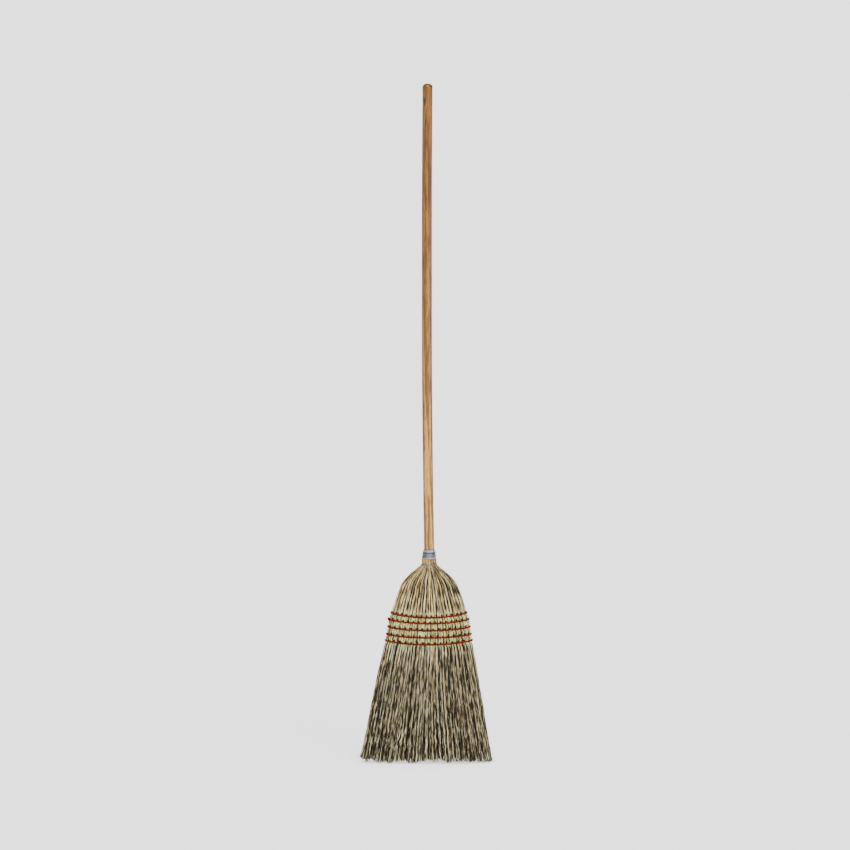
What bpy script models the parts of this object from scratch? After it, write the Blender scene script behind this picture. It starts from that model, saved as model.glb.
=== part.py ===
# Parlor broom: a round wooden handle and a flat head of broomcorn straw, bound on with
# galvanised wire and sewn through with five rows of red twine.
# Metres, +Z up. X runs across the head, the front faces -Y, and the straw tips stand
# on Z = 0 with the origin in the middle of them.

import math
import random

import bmesh
import bpy
from mathutils import Vector

# Fits
TOUCH_GAP = 0.0003
CUT_OVERRUN = 0.003

# Handle
HANDLE_LENGTH = 1.067
HANDLE_DIAMETER = 0.0213
HANDLE_INSERT = 0.060
HANDLE_DOME_HEIGHT = 0.0077
HANDLE_CHAMFER = 0.0015
HANDLE_SIDES = 24
HANDLE_RINGS = 9
DOME_RINGS = 4

# Outline of the head, from the floor to the throat under the wire
HEAD_HEIGHT = 0.413
SWEEP_WIDTH = 0.276
HEAD_THICKNESS = 0.052
COVER_WALL = 0.0075
HALF_STEPS = 24

# Straw neck above the head: the straw's thickness on the handle, and heights
THROAT_WALL = 0.00375
COLLAR_WALL = 0.00485
COLLAR_HEIGHT = 0.0094
COLLAR_EDGE = 0.0015
NECK_WALL = 0.00245
TAPER_LENGTH = 0.0137
TAPER_EDGE = 0.0004

# The wood and the straw are not quite straight: the neck stands a little to the right
NECK_SWAY = 0.0054

# Inner straw and the wire that binds it, measured down from the throat
INSIDES_DROP = 0.021
INSIDES_NECK_WALL = 0.00165
INSIDES_WIDTH = 0.090
INNER_WIRE_HEIGHT = 0.012
INNER_WIRE_THICKNESS = 0.0012
SHOULDER_DROP = 0.0095
CAVITY_ROOF = 0.005

# Binding wire
WIRE_DIAMETER = 0.0015
WIRE_TURN_GAP = 0.00045
WIRE_TURN_POINTS = 24
WIRE_CLIMB_POINTS = 8
WIRE_BEND = 0.0012
THROAT_TURNS = 2
CLIMB_TURNS = 0.125
WOOD_TURNS = 2

# Tack that holds the end of the wire
TACK_SHANK_DIAMETER = 0.0016
TACK_LENGTH = 0.009
TACK_POINT = 0.002
TACK_HEAD_DIAMETER = 0.0042
TACK_HEAD_THICKNESS = 0.0008
TACK_SIDES = 16

# Rows of twine
TOP_ROW_DROP = 0.1063
ROW_SPACING = 0.0142
ROW_SAG = 0.0065
TWINE_DIAMETER = 0.0027
TWINE_PINCH = 0.0022
TWINE_CHORD_GAP = 0.0002
TWINE_END_GAP = 0.00045

# Loose straw below the stitching
SPLIT_DROP = 0.0159
STRAW_ROOT_RADIUS = 0.0015
STRAW_TIP_RADIUS = 0.0019
STRAW_ROOT_DEPTH = 0.002
STRAW_MARGIN = 0.00035
STRAW_TIP_JITTER = 0.0003
STRAW_SPACING = 0.0042
MIDDLE_STRAW_SPACING = 0.0050
STRAW_RAGGED = 0.008
STRAW_TRIM = 0.0005
STRAW_SIDES = 3

# Places down the head run from 0 at the throat to 1 at the top row and 2 on the floor.
# Each row holds a place, the width and thickness as shares of the growth from the round
# throat to the sweep's half width and the head's half thickness, and the squareness.
HEAD_SHARES = (
    (0.000, 0.020, 0.06, 2.0),
    (0.024, 0.045, 0.12, 2.0),
    (0.073, 0.109, 0.22, 2.0),
    (0.132, 0.167, 0.36, 2.0),
    (0.210, 0.248, 0.54, 2.1),
    (0.292, 0.307, 0.70, 2.1),
    (0.369, 0.351, 0.81, 2.2),
    (0.485, 0.390, 0.93, 2.2),
    (0.645, 0.441, 1.00, 2.3),
    (0.882, 0.504, 0.97, 2.4),
    (1.095, 0.585, 0.91, 2.5),
    (1.232, 0.646, 0.91, 2.5),
    (1.368, 0.718, 0.95, 2.5),
    (1.642, 0.844, 1.09, 2.6),
    (2.000, 1.000, 1.35, 2.8),
)

# Places of the shoulder's rings, between the throat and the top row
SHOULDER_RING_SHARES = (0.024, 0.073, 0.132, 0.210, 0.292, 0.369, 0.485, 0.645, 0.797)

# Height share of the broom, then share of the neck's sway
SWAY_SHARES = (
    (0.000, 0.00),
    (0.063, 0.22),
    (0.129, 0.43),
    (0.166, 0.76),
    (0.210, 1.00),
    (0.316, 1.00),
    (0.387, 0.72),
    (0.564, 0.22),
    (0.700, 0.15),
    (0.800, 0.15),
    (1.000, 0.39),
)

# Place down the head, then the share of the cover's wall there
WALL_SHARES = ((0.00, 0.58), (0.21, 0.62), (0.39, 0.80), (0.78, 1.00), (2.00, 1.00))

# Inner bundle below its bound neck: place, width share and thickness share
INSIDES_SHARES = ((0.447, 0.42, 0.90), (0.660, 0.62, 1.00), (1.030, 0.82, 1.00))

# The rows are sewn by hand: drop shares of the spacing and sag shares of the mean sag
ROW_DROP_SHARES = (0.00, 0.88, 1.92, 2.99, 4.00)
ROW_SAG_SHARES = (1.15, 1.00, 0.85, 0.80, 1.00)

# Place above which the straw's rings are level
SAG_END_SHARE = 0.292

# Places of the four rows of straw in the middle of the head
MIDDLE_ROW_SHARES = (-0.72, -0.24, 0.24, 0.72)

# Steps of the cover's outline at which the twine has a point, dense at the corners
TWINE_STEPS = (0, 1, 2, 3, 4, 6, 8, 10, 12, 14, 16, 18, 20, 21, 22, 23, 24)

# Share of the straws that reach the floor and are trimmed flat on it
TRIMMED_SHARE = 0.5

handle_radius = HANDLE_DIAMETER / 2
handle_base = HEAD_HEIGHT - HANDLE_INSERT
broom_length = handle_base + HANDLE_LENGTH
bore_radius = handle_radius + TOUCH_GAP

wire_radius = WIRE_DIAMETER / 2
wire_pitch = WIRE_DIAMETER + WIRE_TURN_GAP
neck_turns = round(TAPER_LENGTH / wire_pitch) + WOOD_TURNS - CLIMB_TURNS

throat_radius = bore_radius + THROAT_WALL
collar_radius = bore_radius + COLLAR_WALL
neck_base_radius = bore_radius + NECK_WALL
collar_base = HEAD_HEIGHT + THROAT_TURNS * wire_pitch + WIRE_DIAMETER
neck_base = collar_base + COLLAR_HEIGHT
cover_top = neck_base + TAPER_LENGTH

shoulder_top = HEAD_HEIGHT - SHOULDER_DROP
insides_top = HEAD_HEIGHT - INSIDES_DROP
insides_neck_radius = bore_radius + INSIDES_NECK_WALL
insides_neck_base = insides_top - INNER_WIRE_HEIGHT - 2 * TOUCH_GAP
inner_wire_radius = insides_neck_radius + TOUCH_GAP + INNER_WIRE_THICKNESS

twine_radius = TWINE_DIAMETER / 2
top_row_height = HEAD_HEIGHT - TOP_ROW_DROP
row_heights = [top_row_height - share * ROW_SPACING for share in ROW_DROP_SHARES]
row_sags = [share * ROW_SAG for share in ROW_SAG_SHARES]
split_height = row_heights[-1] - SPLIT_DROP


def clear_scene():
    for scene_object in list(bpy.data.objects):
        bpy.data.objects.remove(scene_object, do_unlink=True)


def read_shares(table, place, column):
    # Smooth curve through one column of a table whose first column rises
    places = [row[0] for row in table]
    values = [row[column] for row in table]
    if place <= places[0]:
        return values[0]
    if place >= places[-1]:
        return values[-1]
    slopes = []
    for i in range(len(places)):
        low = max(i - 1, 0)
        high = min(i + 1, len(places) - 1)
        slopes.append((values[high] - values[low]) / (places[high] - places[low]))
    i = max(k for k in range(len(places) - 1) if places[k] <= place)
    span = places[i + 1] - places[i]
    t = (place - places[i]) / span
    start = (1 + 2 * t) * (1 - t) ** 2 * values[i] + t * (1 - t) ** 2 * slopes[i] * span
    end = t * t * (3 - 2 * t) * values[i + 1] - t * t * (1 - t) * slopes[i + 1] * span
    return start + end


def place_at(z):
    if z >= top_row_height:
        return (HEAD_HEIGHT - z) / TOP_ROW_DROP
    return 1 + (top_row_height - z) / top_row_height


def height_of(place):
    if place <= 1:
        return HEAD_HEIGHT - place * TOP_ROW_DROP
    return top_row_height * (2 - place)


def half_width(z):
    growth = read_shares(HEAD_SHARES, place_at(z), 1)
    return throat_radius + growth * (SWEEP_WIDTH / 2 - throat_radius)


def half_thickness(z):
    growth = read_shares(HEAD_SHARES, place_at(z), 2)
    return throat_radius + growth * (HEAD_THICKNESS / 2 - throat_radius)


def squareness(z):
    return read_shares(HEAD_SHARES, place_at(z), 3)


def swayed(x, y, z):
    shift = NECK_SWAY * read_shares(SWAY_SHARES, z / broom_length, 1)
    return Vector((x + shift, y, z))


def superellipse(a, b, power, angle):
    c = math.cos(angle)
    s = math.sin(angle)
    x = a * math.copysign(abs(c) ** (2 / power), c)
    y = b * math.copysign(abs(s) ** (2 / power), s)
    return x, y


def make_material(name, colour, roughness, metallic):
    material = bpy.data.materials.new(name)
    material.use_nodes = True
    shader = material.node_tree.nodes["Principled BSDF"]
    shader.inputs["Base Color"].default_value = (*colour, 1.0)
    shader.inputs["Roughness"].default_value = roughness
    shader.inputs["Metallic"].default_value = metallic
    material.diffuse_color = (*colour, 1.0)
    return material


def add_object(name, data, material):
    piece = bpy.data.objects.new(name, data)
    bpy.context.scene.collection.objects.link(piece)
    piece.parent = broom
    if material:
        data.materials.append(material)
    return piece


def finish_mesh(name, mesh, material, smooth_angle):
    bmesh.ops.recalc_face_normals(mesh, faces=mesh.faces)
    data = bpy.data.meshes.new(name)
    mesh.to_mesh(data)
    mesh.free()
    data.shade_smooth()
    data.set_sharp_from_angle(angle=math.radians(smooth_angle))
    return add_object(name, data, material)


def add_skin(mesh, rings, closed):
    for upper, lower in zip(rings, rings[1:]):
        count = len(upper)
        for i in range(count if closed else count - 1):
            j = (i + 1) % count
            mesh.faces.new((upper[i], upper[j], lower[j], lower[i]))


def add_ring(mesh, points):
    return [mesh.verts.new(swayed(*point)) for point in points]


def circle_points(radius, z, sides):
    points = []
    for i in range(sides):
        angle = 2 * math.pi * i / sides
        points.append((radius * math.cos(angle), radius * math.sin(angle), z))
    return points


def add_cutter(name, centre, direction, radius, length):
    # Cylinder that starts at the centre and runs along the direction
    mesh = bmesh.new()
    bmesh.ops.create_cone(
        mesh, cap_ends=True, segments=TACK_SIDES, radius1=radius, radius2=radius, depth=length
    )
    data = bpy.data.meshes.new(name)
    mesh.to_mesh(data)
    mesh.free()
    cutter = add_object(name, data, None)
    cutter.location = centre + direction * (length / 2)
    cutter.rotation_euler = direction.to_track_quat("Z", "Y").to_euler()
    cutter.hide_render = True
    cutter.display_type = "WIRE"
    return cutter


def add_boolean(piece, other, operation):
    modifier = piece.modifiers.new(other.name, "BOOLEAN")
    modifier.operation = operation
    modifier.solver = "EXACT"
    modifier.object = other


def neck_radius(z):
    # Radius of what the wire is wound on: straw up to the cover's end, then bare wood
    profile = neck_profile()
    if z > cover_top:
        return handle_radius
    for (z0, r0), (z1, r1) in zip(profile, profile[1:]):
        if z0 <= z <= z1:
            return r0 + (r1 - r0) * (z - z0) / (z1 - z0)
    return profile[0][1]


def neck_profile():
    return (
        (HEAD_HEIGHT, throat_radius),
        (collar_base, throat_radius),
        (collar_base + COLLAR_EDGE, collar_radius),
        (neck_base - COLLAR_EDGE, collar_radius),
        (neck_base, neck_base_radius),
        (cover_top, bore_radius + TAPER_EDGE),
    )


def outer_rings():
    # Height in the middle, rise to the sides, half width, half thickness, squareness
    rings = [(z, 0.0, r, r, 2.0) for z, r in reversed(neck_profile())]
    sag_end = height_of(SAG_END_SHARE)

    def head_ring(z, sag, pinch):
        a = half_width(z + sag) - pinch
        b = half_thickness(z) - pinch
        rings.append((z, sag, a, b, squareness(z)))

    for share in SHOULDER_RING_SHARES:
        z = height_of(share)
        fade = max(0.0, (sag_end - z) / (sag_end - top_row_height))
        head_ring(z, row_sags[0] * fade, 0.0)
    head_ring(top_row_height + ROW_SPACING / 2, row_sags[0], 0.0)
    for i, (z, sag) in enumerate(zip(row_heights, row_sags)):
        head_ring(z, sag, TWINE_PINCH)
        if i + 1 < len(row_heights):
            head_ring((z + row_heights[i + 1]) / 2, (sag + row_sags[i + 1]) / 2, 0.0)
        else:
            head_ring(z - SPLIT_DROP / 2, sag / 2, 0.0)
    head_ring(split_height, 0.0, 0.0)
    return rings


def cavity_heights():
    # Heights at which the pieces inside the covers have their rings
    below = [height_of(place) for place, width, thickness in INSIDES_SHARES]
    return [shoulder_top, insides_top + TOUCH_GAP, insides_neck_base, *below, split_height]


def cavity_size(z):
    # Half sizes of the space inside the covers, which clears the wire that it holds
    wall = read_shares(WALL_SHARES, place_at(z), 1) * COVER_WALL
    a = half_width(z) - wall
    b = half_thickness(z) - wall
    if insides_neck_base <= z <= insides_top + TOUCH_GAP:
        b = max(b, inner_wire_radius + TOUCH_GAP)
    return a, b, squareness(z)


def insides_size(z):
    # Half sizes of the inner bundle: round at its bound neck, flat and wide below
    if z >= insides_neck_base:
        return insides_neck_radius, insides_neck_radius, 2.0
    b = cavity_size(z)[1] - TOUCH_GAP
    for place, width, thickness in INSIDES_SHARES:
        if z >= height_of(place) - TOUCH_GAP:
            return width * INSIDES_WIDTH / 2, thickness * b, 3.0
    return INSIDES_WIDTH / 2, b, 4.0


def straw_scale():
    # How far the loose straw spreads between the stitching and the floor
    across = half_width(0.0) / half_width(split_height)
    through = half_thickness(0.0) / half_thickness(split_height)
    return across, through


def straw_pitch(scale):
    # Least distance between two roots at which neither the roots nor the tips touch
    root_pitch = 2 * (STRAW_ROOT_RADIUS + STRAW_TIP_JITTER)
    tip_pitch = 2 * (STRAW_TIP_RADIUS + STRAW_TIP_JITTER)
    return max(root_pitch, tip_pitch / scale)


def add_straws(name, roots, seed):
    # Straight three-sided straws that spread from their roots, none crossing another
    chance = random.Random(seed)
    across, through = straw_scale()
    mesh = bmesh.new()
    for x, y in roots:
        turn = chance.uniform(0.0, 2 * math.pi)
        tip_x = x * across + chance.uniform(-1, 1) * STRAW_TIP_JITTER
        tip_y = y * through + chance.uniform(-1, 1) * STRAW_TIP_JITTER
        ragged = chance.random() * STRAW_RAGGED if chance.random() > TRIMMED_SHARE else 0.0
        tip_z = max(0.0, ragged - STRAW_TRIM)
        root = []
        tip = []
        for i in range(STRAW_SIDES):
            angle = turn + 2 * math.pi * i / STRAW_SIDES
            c = math.cos(angle)
            s = math.sin(angle)
            root_z = split_height + STRAW_ROOT_DEPTH
            root.append((x + STRAW_ROOT_RADIUS * c, y + STRAW_ROOT_RADIUS * s, root_z))
            tip.append((tip_x + STRAW_TIP_RADIUS * c, tip_y + STRAW_TIP_RADIUS * s, tip_z))
        rings = [add_ring(mesh, root), add_ring(mesh, tip)]
        add_skin(mesh, rings, True)
        mesh.faces.new(rings[0])
        mesh.faces.new(rings[1])
    bmesh.ops.recalc_face_normals(mesh, faces=mesh.faces)
    data = bpy.data.meshes.new(name)
    mesh.to_mesh(data)
    mesh.free()
    straws = add_object(name, data, None)
    straws.hide_render = True
    straws.display_type = "WIRE"
    return straws


def cover_roots(side):
    # Staggered rows of roots through the cover's wall, evenly spaced along each row
    a = half_width(split_height)
    b = half_thickness(split_height)
    power = squareness(split_height)
    across, through = straw_scale()
    inset = STRAW_ROOT_RADIUS + STRAW_MARGIN
    room = COVER_WALL - 2 * inset
    rows = int(room / straw_pitch(through)) + 1
    spacing = max(STRAW_SPACING, straw_pitch(min(across, through)))
    edge = max(straw_pitch(through), 2 * inset) / 2 + TOUCH_GAP
    roots = []
    for row in range(rows):
        depth = inset + (room * row / (rows - 1) if rows > 1 else room / 2)
        steps = 30 * HALF_STEPS
        angles = [math.pi * i / steps for i in range(steps + 1)]
        line = [superellipse(a - depth, b - depth, power, angle) for angle in angles]
        line = [(x, y) for x, y in line if y >= edge]
        lengths = [0.0]
        for (x0, y0), (x1, y1) in zip(line, line[1:]):
            lengths.append(lengths[-1] + math.hypot(x1 - x0, y1 - y0))
        count = int(lengths[-1] / spacing) - row % 2
        for k in range(count + 1):
            target = lengths[-1] * (k + (row % 2) / 2) / (count + row % 2)
            i = min(range(len(line)), key=lambda index: abs(lengths[index] - target))
            roots.append((line[i][0], side * line[i][1]))
    return roots


def make_cover(name, side, seed):
    mesh = bmesh.new()

    def half_ring(z, sag, a, b, power):
        points = []
        edge = TOUCH_GAP / 2
        for i in range(HALF_STEPS + 1):
            x, y = superellipse(a, b - edge, power, math.pi * i / HALF_STEPS)
            points.append((x, side * (edge + abs(y)), z + sag * (x / a) ** 2))
        return add_ring(mesh, points)

    outer = [half_ring(*ring) for ring in outer_rings()]
    inner = [half_ring(cover_top, 0.0, bore_radius, bore_radius, 2.0)]
    roof = shoulder_top + CAVITY_ROOF
    inner.append(half_ring(roof, 0.0, bore_radius, bore_radius, 2.0))
    for i, z in enumerate(cavity_heights()):
        lift = TOUCH_GAP if i == 0 else 0.0
        inner.append(half_ring(z + lift, 0.0, *cavity_size(z)))
    add_skin(mesh, outer, False)
    add_skin(mesh, inner, False)
    mesh.faces.new(outer[0] + inner[0][::-1])
    mesh.faces.new(outer[-1] + inner[-1][::-1])
    for column in (0, -1):
        loop = [ring[column] for ring in outer] + [ring[column] for ring in reversed(inner)]
        mesh.faces.new(loop)
    cover = finish_mesh(name, mesh, straw, 50)
    add_boolean(cover, add_straws(name + "_straws", cover_roots(side), seed), "UNION")
    return cover


def make_insides():
    mesh = bmesh.new()

    def full_ring(z, a, b, power):
        points = []
        for i in range(HALF_STEPS):
            x, y = superellipse(a, b, power, 2 * math.pi * i / HALF_STEPS)
            points.append((x, y, z))
        return add_ring(mesh, points)

    heights = [insides_top, *cavity_heights()[2:]]
    outer = [full_ring(z, *insides_size(z)) for z in heights]
    bore_base = handle_base - TOUCH_GAP
    bore = [full_ring(z, bore_radius, bore_radius, 2.0) for z in (insides_top, bore_base)]
    add_skin(mesh, outer, True)
    add_skin(mesh, bore, True)
    add_skin(mesh, [outer[0], bore[0]], True)
    mesh.faces.new(bore[-1])
    mesh.faces.new(outer[-1])
    insides = finish_mesh("insides", mesh, inner_straw, 50)
    half_depth = insides_size(split_height)[1]
    reach = INSIDES_WIDTH / 2 - STRAW_ROOT_RADIUS - STRAW_MARGIN
    across, through = straw_scale()
    pitch = max(MIDDLE_STRAW_SPACING, straw_pitch(across))
    roots = []
    for row, share in enumerate(MIDDLE_ROW_SHARES):
        limit = reach * (1 - abs(share) ** 4) ** 0.25
        gaps = math.floor(2 * limit / pitch)
        stagger = row % 2
        for k in range(gaps + 1 - stagger):
            x = (k + stagger / 2) * 2 * limit / max(gaps, 1) - limit
            roots.append((x, share * half_depth))
    add_boolean(insides, add_straws("insides_straws", roots, 31), "UNION")
    return insides


def shoulder_inner_face(z):
    # Distance from the middle to the flat inner face of a side bundle
    if z > insides_top + 2 * TOUCH_GAP:
        return bore_radius
    if z >= insides_neck_base:
        return inner_wire_radius + TOUCH_GAP
    return insides_size(z)[0] + TOUCH_GAP


def make_shoulder(name, side, seed):
    mesh = bmesh.new()

    def section(z):
        a, b, power = cavity_size(z)
        a -= TOUCH_GAP
        b -= TOUCH_GAP
        face = shoulder_inner_face(z)
        limit = math.acos(min(1.0, (face / a) ** (power / 2)))
        points = []
        for i in range(HALF_STEPS // 2 + 1):
            angle = limit * (4 * i / HALF_STEPS - 1)
            x, y = superellipse(a, b, power, angle)
            points.append((side * x, y, z))
        return add_ring(mesh, points)

    rings = [section(z) for z in cavity_heights()]
    add_skin(mesh, rings, True)
    mesh.faces.new(rings[0])
    mesh.faces.new(rings[-1])
    shoulder = finish_mesh(name, mesh, inner_straw, 50)
    a, b, power = cavity_size(split_height)
    inset = TOUCH_GAP + STRAW_ROOT_RADIUS + STRAW_MARGIN
    start = shoulder_inner_face(split_height) + STRAW_ROOT_RADIUS + STRAW_MARGIN
    across, through = straw_scale()
    pitch = max(MIDDLE_STRAW_SPACING, straw_pitch(across))
    roots = []
    for row, share in enumerate(MIDDLE_ROW_SHARES):
        y = share * insides_size(split_height)[1]
        end = (a - inset) * (1 - (abs(y) / (b - inset)) ** power) ** (1 / power)
        stagger = row % 2
        gaps = math.floor((end - start) / pitch)
        for k in range(gaps + 1 - stagger):
            x = end - (end - start) * (k + stagger / 2) / max(gaps, 1)
            roots.append((side * x, y))
    add_boolean(shoulder, add_straws(name + "_straws", roots, seed), "UNION")
    return shoulder


def make_handle():
    mesh = bmesh.new()
    profile = [(handle_radius - HANDLE_CHAMFER, handle_base)]
    straight_base = handle_base + HANDLE_CHAMFER
    straight_top = broom_length - HANDLE_DOME_HEIGHT
    for i in range(HANDLE_RINGS):
        z = straight_base + (straight_top - straight_base) * i / (HANDLE_RINGS - 1)
        profile.append((handle_radius, z))
    for i in range(1, DOME_RINGS):
        angle = math.pi / 2 * i / DOME_RINGS
        z = straight_top + HANDLE_DOME_HEIGHT * math.sin(angle)
        profile.append((handle_radius * math.cos(angle), z))
    rings = [add_ring(mesh, circle_points(r, z, HANDLE_SIDES)) for r, z in profile]
    add_skin(mesh, rings, True)
    mesh.faces.new(rings[0])
    crown = mesh.verts.new(swayed(0.0, 0.0, broom_length))
    for i in range(HANDLE_SIDES):
        mesh.faces.new((rings[-1][i], rings[-1][(i + 1) % HANDLE_SIDES], crown))
    handle = finish_mesh("handle", mesh, wood, 40)
    hole_radius = TACK_SHANK_DIAMETER / 2 + TOUCH_GAP
    depth_end = tack_head_face() - TACK_LENGTH - TOUCH_GAP
    start = swayed(0.0, depth_end, wire_end_height())
    hole_length = handle_radius - depth_end + CUT_OVERRUN
    hole = add_cutter("tack_hole", start, Vector((0, 1, 0)), hole_radius, hole_length)
    add_boolean(handle, hole, "DIFFERENCE")
    return handle


def make_inner_winding():
    # Hidden under the straw, so its turns are one plain sleeve
    inner = insides_neck_radius + TOUCH_GAP
    top = insides_top - TOUCH_GAP
    base = top - INNER_WIRE_HEIGHT
    mesh = bmesh.new()
    corners = ((inner, top), (inner_wire_radius, top), (inner_wire_radius, base), (inner, base))
    rings = [add_ring(mesh, circle_points(r, z, HALF_STEPS)) for r, z in corners]
    add_skin(mesh, rings + rings[:1], True)
    return finish_mesh("inner_winding", mesh, wire_metal, 50)


def wire_seat(radius):
    # Straight runs between the wire's points cut inside the circle, so they stand off
    chord = radius * (1 - math.cos(math.pi / WIRE_TURN_POINTS))
    return TOUCH_GAP + chord + wire_radius


def wire_start_height():
    return HEAD_HEIGHT + wire_radius + TOUCH_GAP / 2


def wire_neck_height():
    return neck_base + wire_radius + TOUCH_GAP / 2


def wire_end_height():
    return wire_neck_height() + wire_pitch * neck_turns


def tack_head_face():
    return handle_radius + wire_seat(handle_radius) + wire_radius + TOUCH_GAP


def wire_route():
    # Starts out of the straw at the back, winds round the throat, climbs over the collar at
    # the back, winds up the neck on to the wood and ends against the tack at the back
    route = []
    turn_radius = throat_radius + wire_seat(throat_radius)
    bend_start = turn_radius - WIRE_BEND
    z = wire_start_height()
    route.append((0.0, bend_start - WIRE_DIAMETER, z))
    for i in range(5):
        angle = math.pi / 2 * i / 4
        x = -WIRE_BEND * (1 - math.cos(angle))
        route.append((x, bend_start + WIRE_BEND * math.sin(angle), z))
    turns_and_heights = []
    for i in range(1, round(THROAT_TURNS * WIRE_TURN_POINTS) + 1):
        turns = i / WIRE_TURN_POINTS
        turns_and_heights.append((turns, wire_start_height() + wire_pitch * turns))
    climb_base = turns_and_heights[-1][1]
    for i in range(1, WIRE_CLIMB_POINTS + 1):
        share = i / WIRE_CLIMB_POINTS
        z = climb_base + (wire_neck_height() - climb_base) * share
        turns_and_heights.append((THROAT_TURNS + CLIMB_TURNS * share, z))
    for i in range(1, round(neck_turns * WIRE_TURN_POINTS) - 1):
        turns = i / WIRE_TURN_POINTS
        z = wire_neck_height() + wire_pitch * turns
        turns_and_heights.append((THROAT_TURNS + CLIMB_TURNS + turns, z))
    seats = []
    for turns, z in turns_and_heights:
        under = max(neck_radius(z + d) for d in (-wire_radius, 0.0, wire_radius))
        seats.append(under + wire_seat(under))
    # The wire is too stiff to follow every edge: it rides over them on an even curve
    widest = [max(seats[max(i - 1, 0):i + 2]) for i in range(len(seats))]
    for i, (turns, z) in enumerate(turns_and_heights):
        near = widest[max(i - 1, 0):i + 2]
        radius = sum(near) / len(near)
        angle = math.pi / 2 + 2 * math.pi * turns
        route.append((radius * math.cos(angle), radius * math.sin(angle), z))
    end_y = handle_radius + wire_seat(handle_radius)
    end_x = TACK_SHANK_DIAMETER / 2 + TOUCH_GAP
    z = wire_end_height()
    route.append((end_x + WIRE_DIAMETER, end_y, z))
    route.append((end_x, end_y, z))
    return [swayed(*point) for point in route]


def least_gap(points, diameter, skip):
    # Least distance between parts of a tube that are not neighbours along it
    least = math.inf
    for i, a in enumerate(points):
        for b in points[i + skip:]:
            least = min(least, (a - b).length)
    return least - diameter


def make_tube(name, points, radius, material):
    curve = bpy.data.curves.new(name, "CURVE")
    curve.dimensions = "3D"
    curve.bevel_depth = radius
    curve.bevel_resolution = 1
    curve.use_fill_caps = True
    spline = curve.splines.new("POLY")
    spline.points.add(len(points) - 1)
    for knot, point in zip(spline.points, points):
        knot.co = (*point, 1.0)
        knot.radius = 1.0
    spline.use_smooth = True
    return add_object(name, curve, material)


def make_binding_wire():
    points = wire_route()
    gap = least_gap(points, WIRE_DIAMETER, WIRE_TURN_POINTS // 2)
    print("binding_wire least gap to itself, mm:", round(gap * 1000, 3))
    return make_tube("binding_wire", points, wire_radius, wire_metal)


def make_wire_tack():
    # Turned about its own axis with the head's inner face at its origin
    shank = TACK_SHANK_DIAMETER / 2
    head = TACK_HEAD_DIAMETER / 2
    profile = (
        (shank, TACK_POINT - TACK_LENGTH),
        (shank, 0.0),
        (head, 0.0),
        (head, TACK_HEAD_THICKNESS / 2),
        (head * 0.7, TACK_HEAD_THICKNESS),
    )
    mesh = bmesh.new()
    rings = []
    for r, z in profile:
        rings.append([mesh.verts.new(point) for point in circle_points(r, z, TACK_SIDES)])
    add_skin(mesh, rings, True)
    mesh.faces.new(rings[-1])
    point = mesh.verts.new((0.0, 0.0, -TACK_LENGTH))
    for i in range(TACK_SIDES):
        mesh.faces.new((rings[0][i], rings[0][(i + 1) % TACK_SIDES], point))
    tack = finish_mesh("wire_tack", mesh, wire_metal, 40)
    tack.location = swayed(0.0, tack_head_face(), wire_end_height())
    tack.rotation_euler = Vector((0, 1, 0)).to_track_quat("Z", "Y").to_euler()
    return tack


def cut_wire_hole(cover):
    # Blind hole at the back of the throat that the wire comes out of
    turn_radius = throat_radius + wire_seat(throat_radius)
    bottom = turn_radius - WIRE_BEND - WIRE_DIAMETER - TOUCH_GAP
    start = swayed(0.0, bottom, wire_start_height())
    length = throat_radius - bottom + CUT_OVERRUN
    radius = wire_radius + TOUCH_GAP
    hole = add_cutter("wire_hole", start, Vector((0, 1, 0)), radius, length)
    add_boolean(cover, hole, "DIFFERENCE")


def make_stitch_row(number, z, sag):
    # One turn of twine round the head in its groove, its ends meeting in the middle at the back
    a = half_width(z + sag) - TWINE_PINCH
    b = half_thickness(z) - TWINE_PINCH
    power = squareness(z)
    slope = math.atan(TWINE_PINCH / (ROW_SPACING / 2))
    stand = (twine_radius + TOUCH_GAP) / math.cos(slope) + TWINE_CHORD_GAP
    a += stand
    b += stand

    def place(x, y):
        return swayed(x, y, z + sag * (x / a) ** 2)

    front = []
    back = []
    for step in TWINE_STEPS:
        x, y = superellipse(a, b, power, math.pi * step / HALF_STEPS)
        front.append(place(x, -y))
        back.append(place(x, y))
    middle = len(TWINE_STEPS) // 2
    half_gap = TWINE_END_GAP / 2
    points = [place(half_gap, b)]
    points += back[middle - 1:0:-1]
    points += front
    points += back[-2:middle:-1]
    points.append(place(-half_gap, b))
    return make_tube("stitch_row_%d" % number, points, twine_radius, twine)


clear_scene()
broom = bpy.data.objects.new("parlor_broom", None)
bpy.context.scene.collection.objects.link(broom)

wood = make_material("lacquered_wood", (0.42, 0.24, 0.10), 0.35, 0.0)
straw = make_material("broomcorn_straw", (0.36, 0.29, 0.17), 0.75, 0.0)
inner_straw = make_material("inner_broomcorn", (0.30, 0.24, 0.14), 0.8, 0.0)
wire_metal = make_material("galvanised_wire", (0.50, 0.51, 0.55), 0.4, 1.0)
twine = make_material("red_twine", (0.50, 0.01, 0.02), 0.7, 0.0)

make_handle()
make_insides()
make_inner_winding()
make_shoulder("left_shoulder", -1, 41)
make_shoulder("right_shoulder", 1, 42)
make_cover("front_cover", -1, 21)
cut_wire_hole(make_cover("rear_cover", 1, 22))
make_binding_wire()
make_wire_tack()
for row, (row_z, row_sag) in enumerate(zip(row_heights, row_sags)):
    make_stitch_row(row + 1, row_z, row_sag)
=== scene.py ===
import math
from functools import partial

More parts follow.
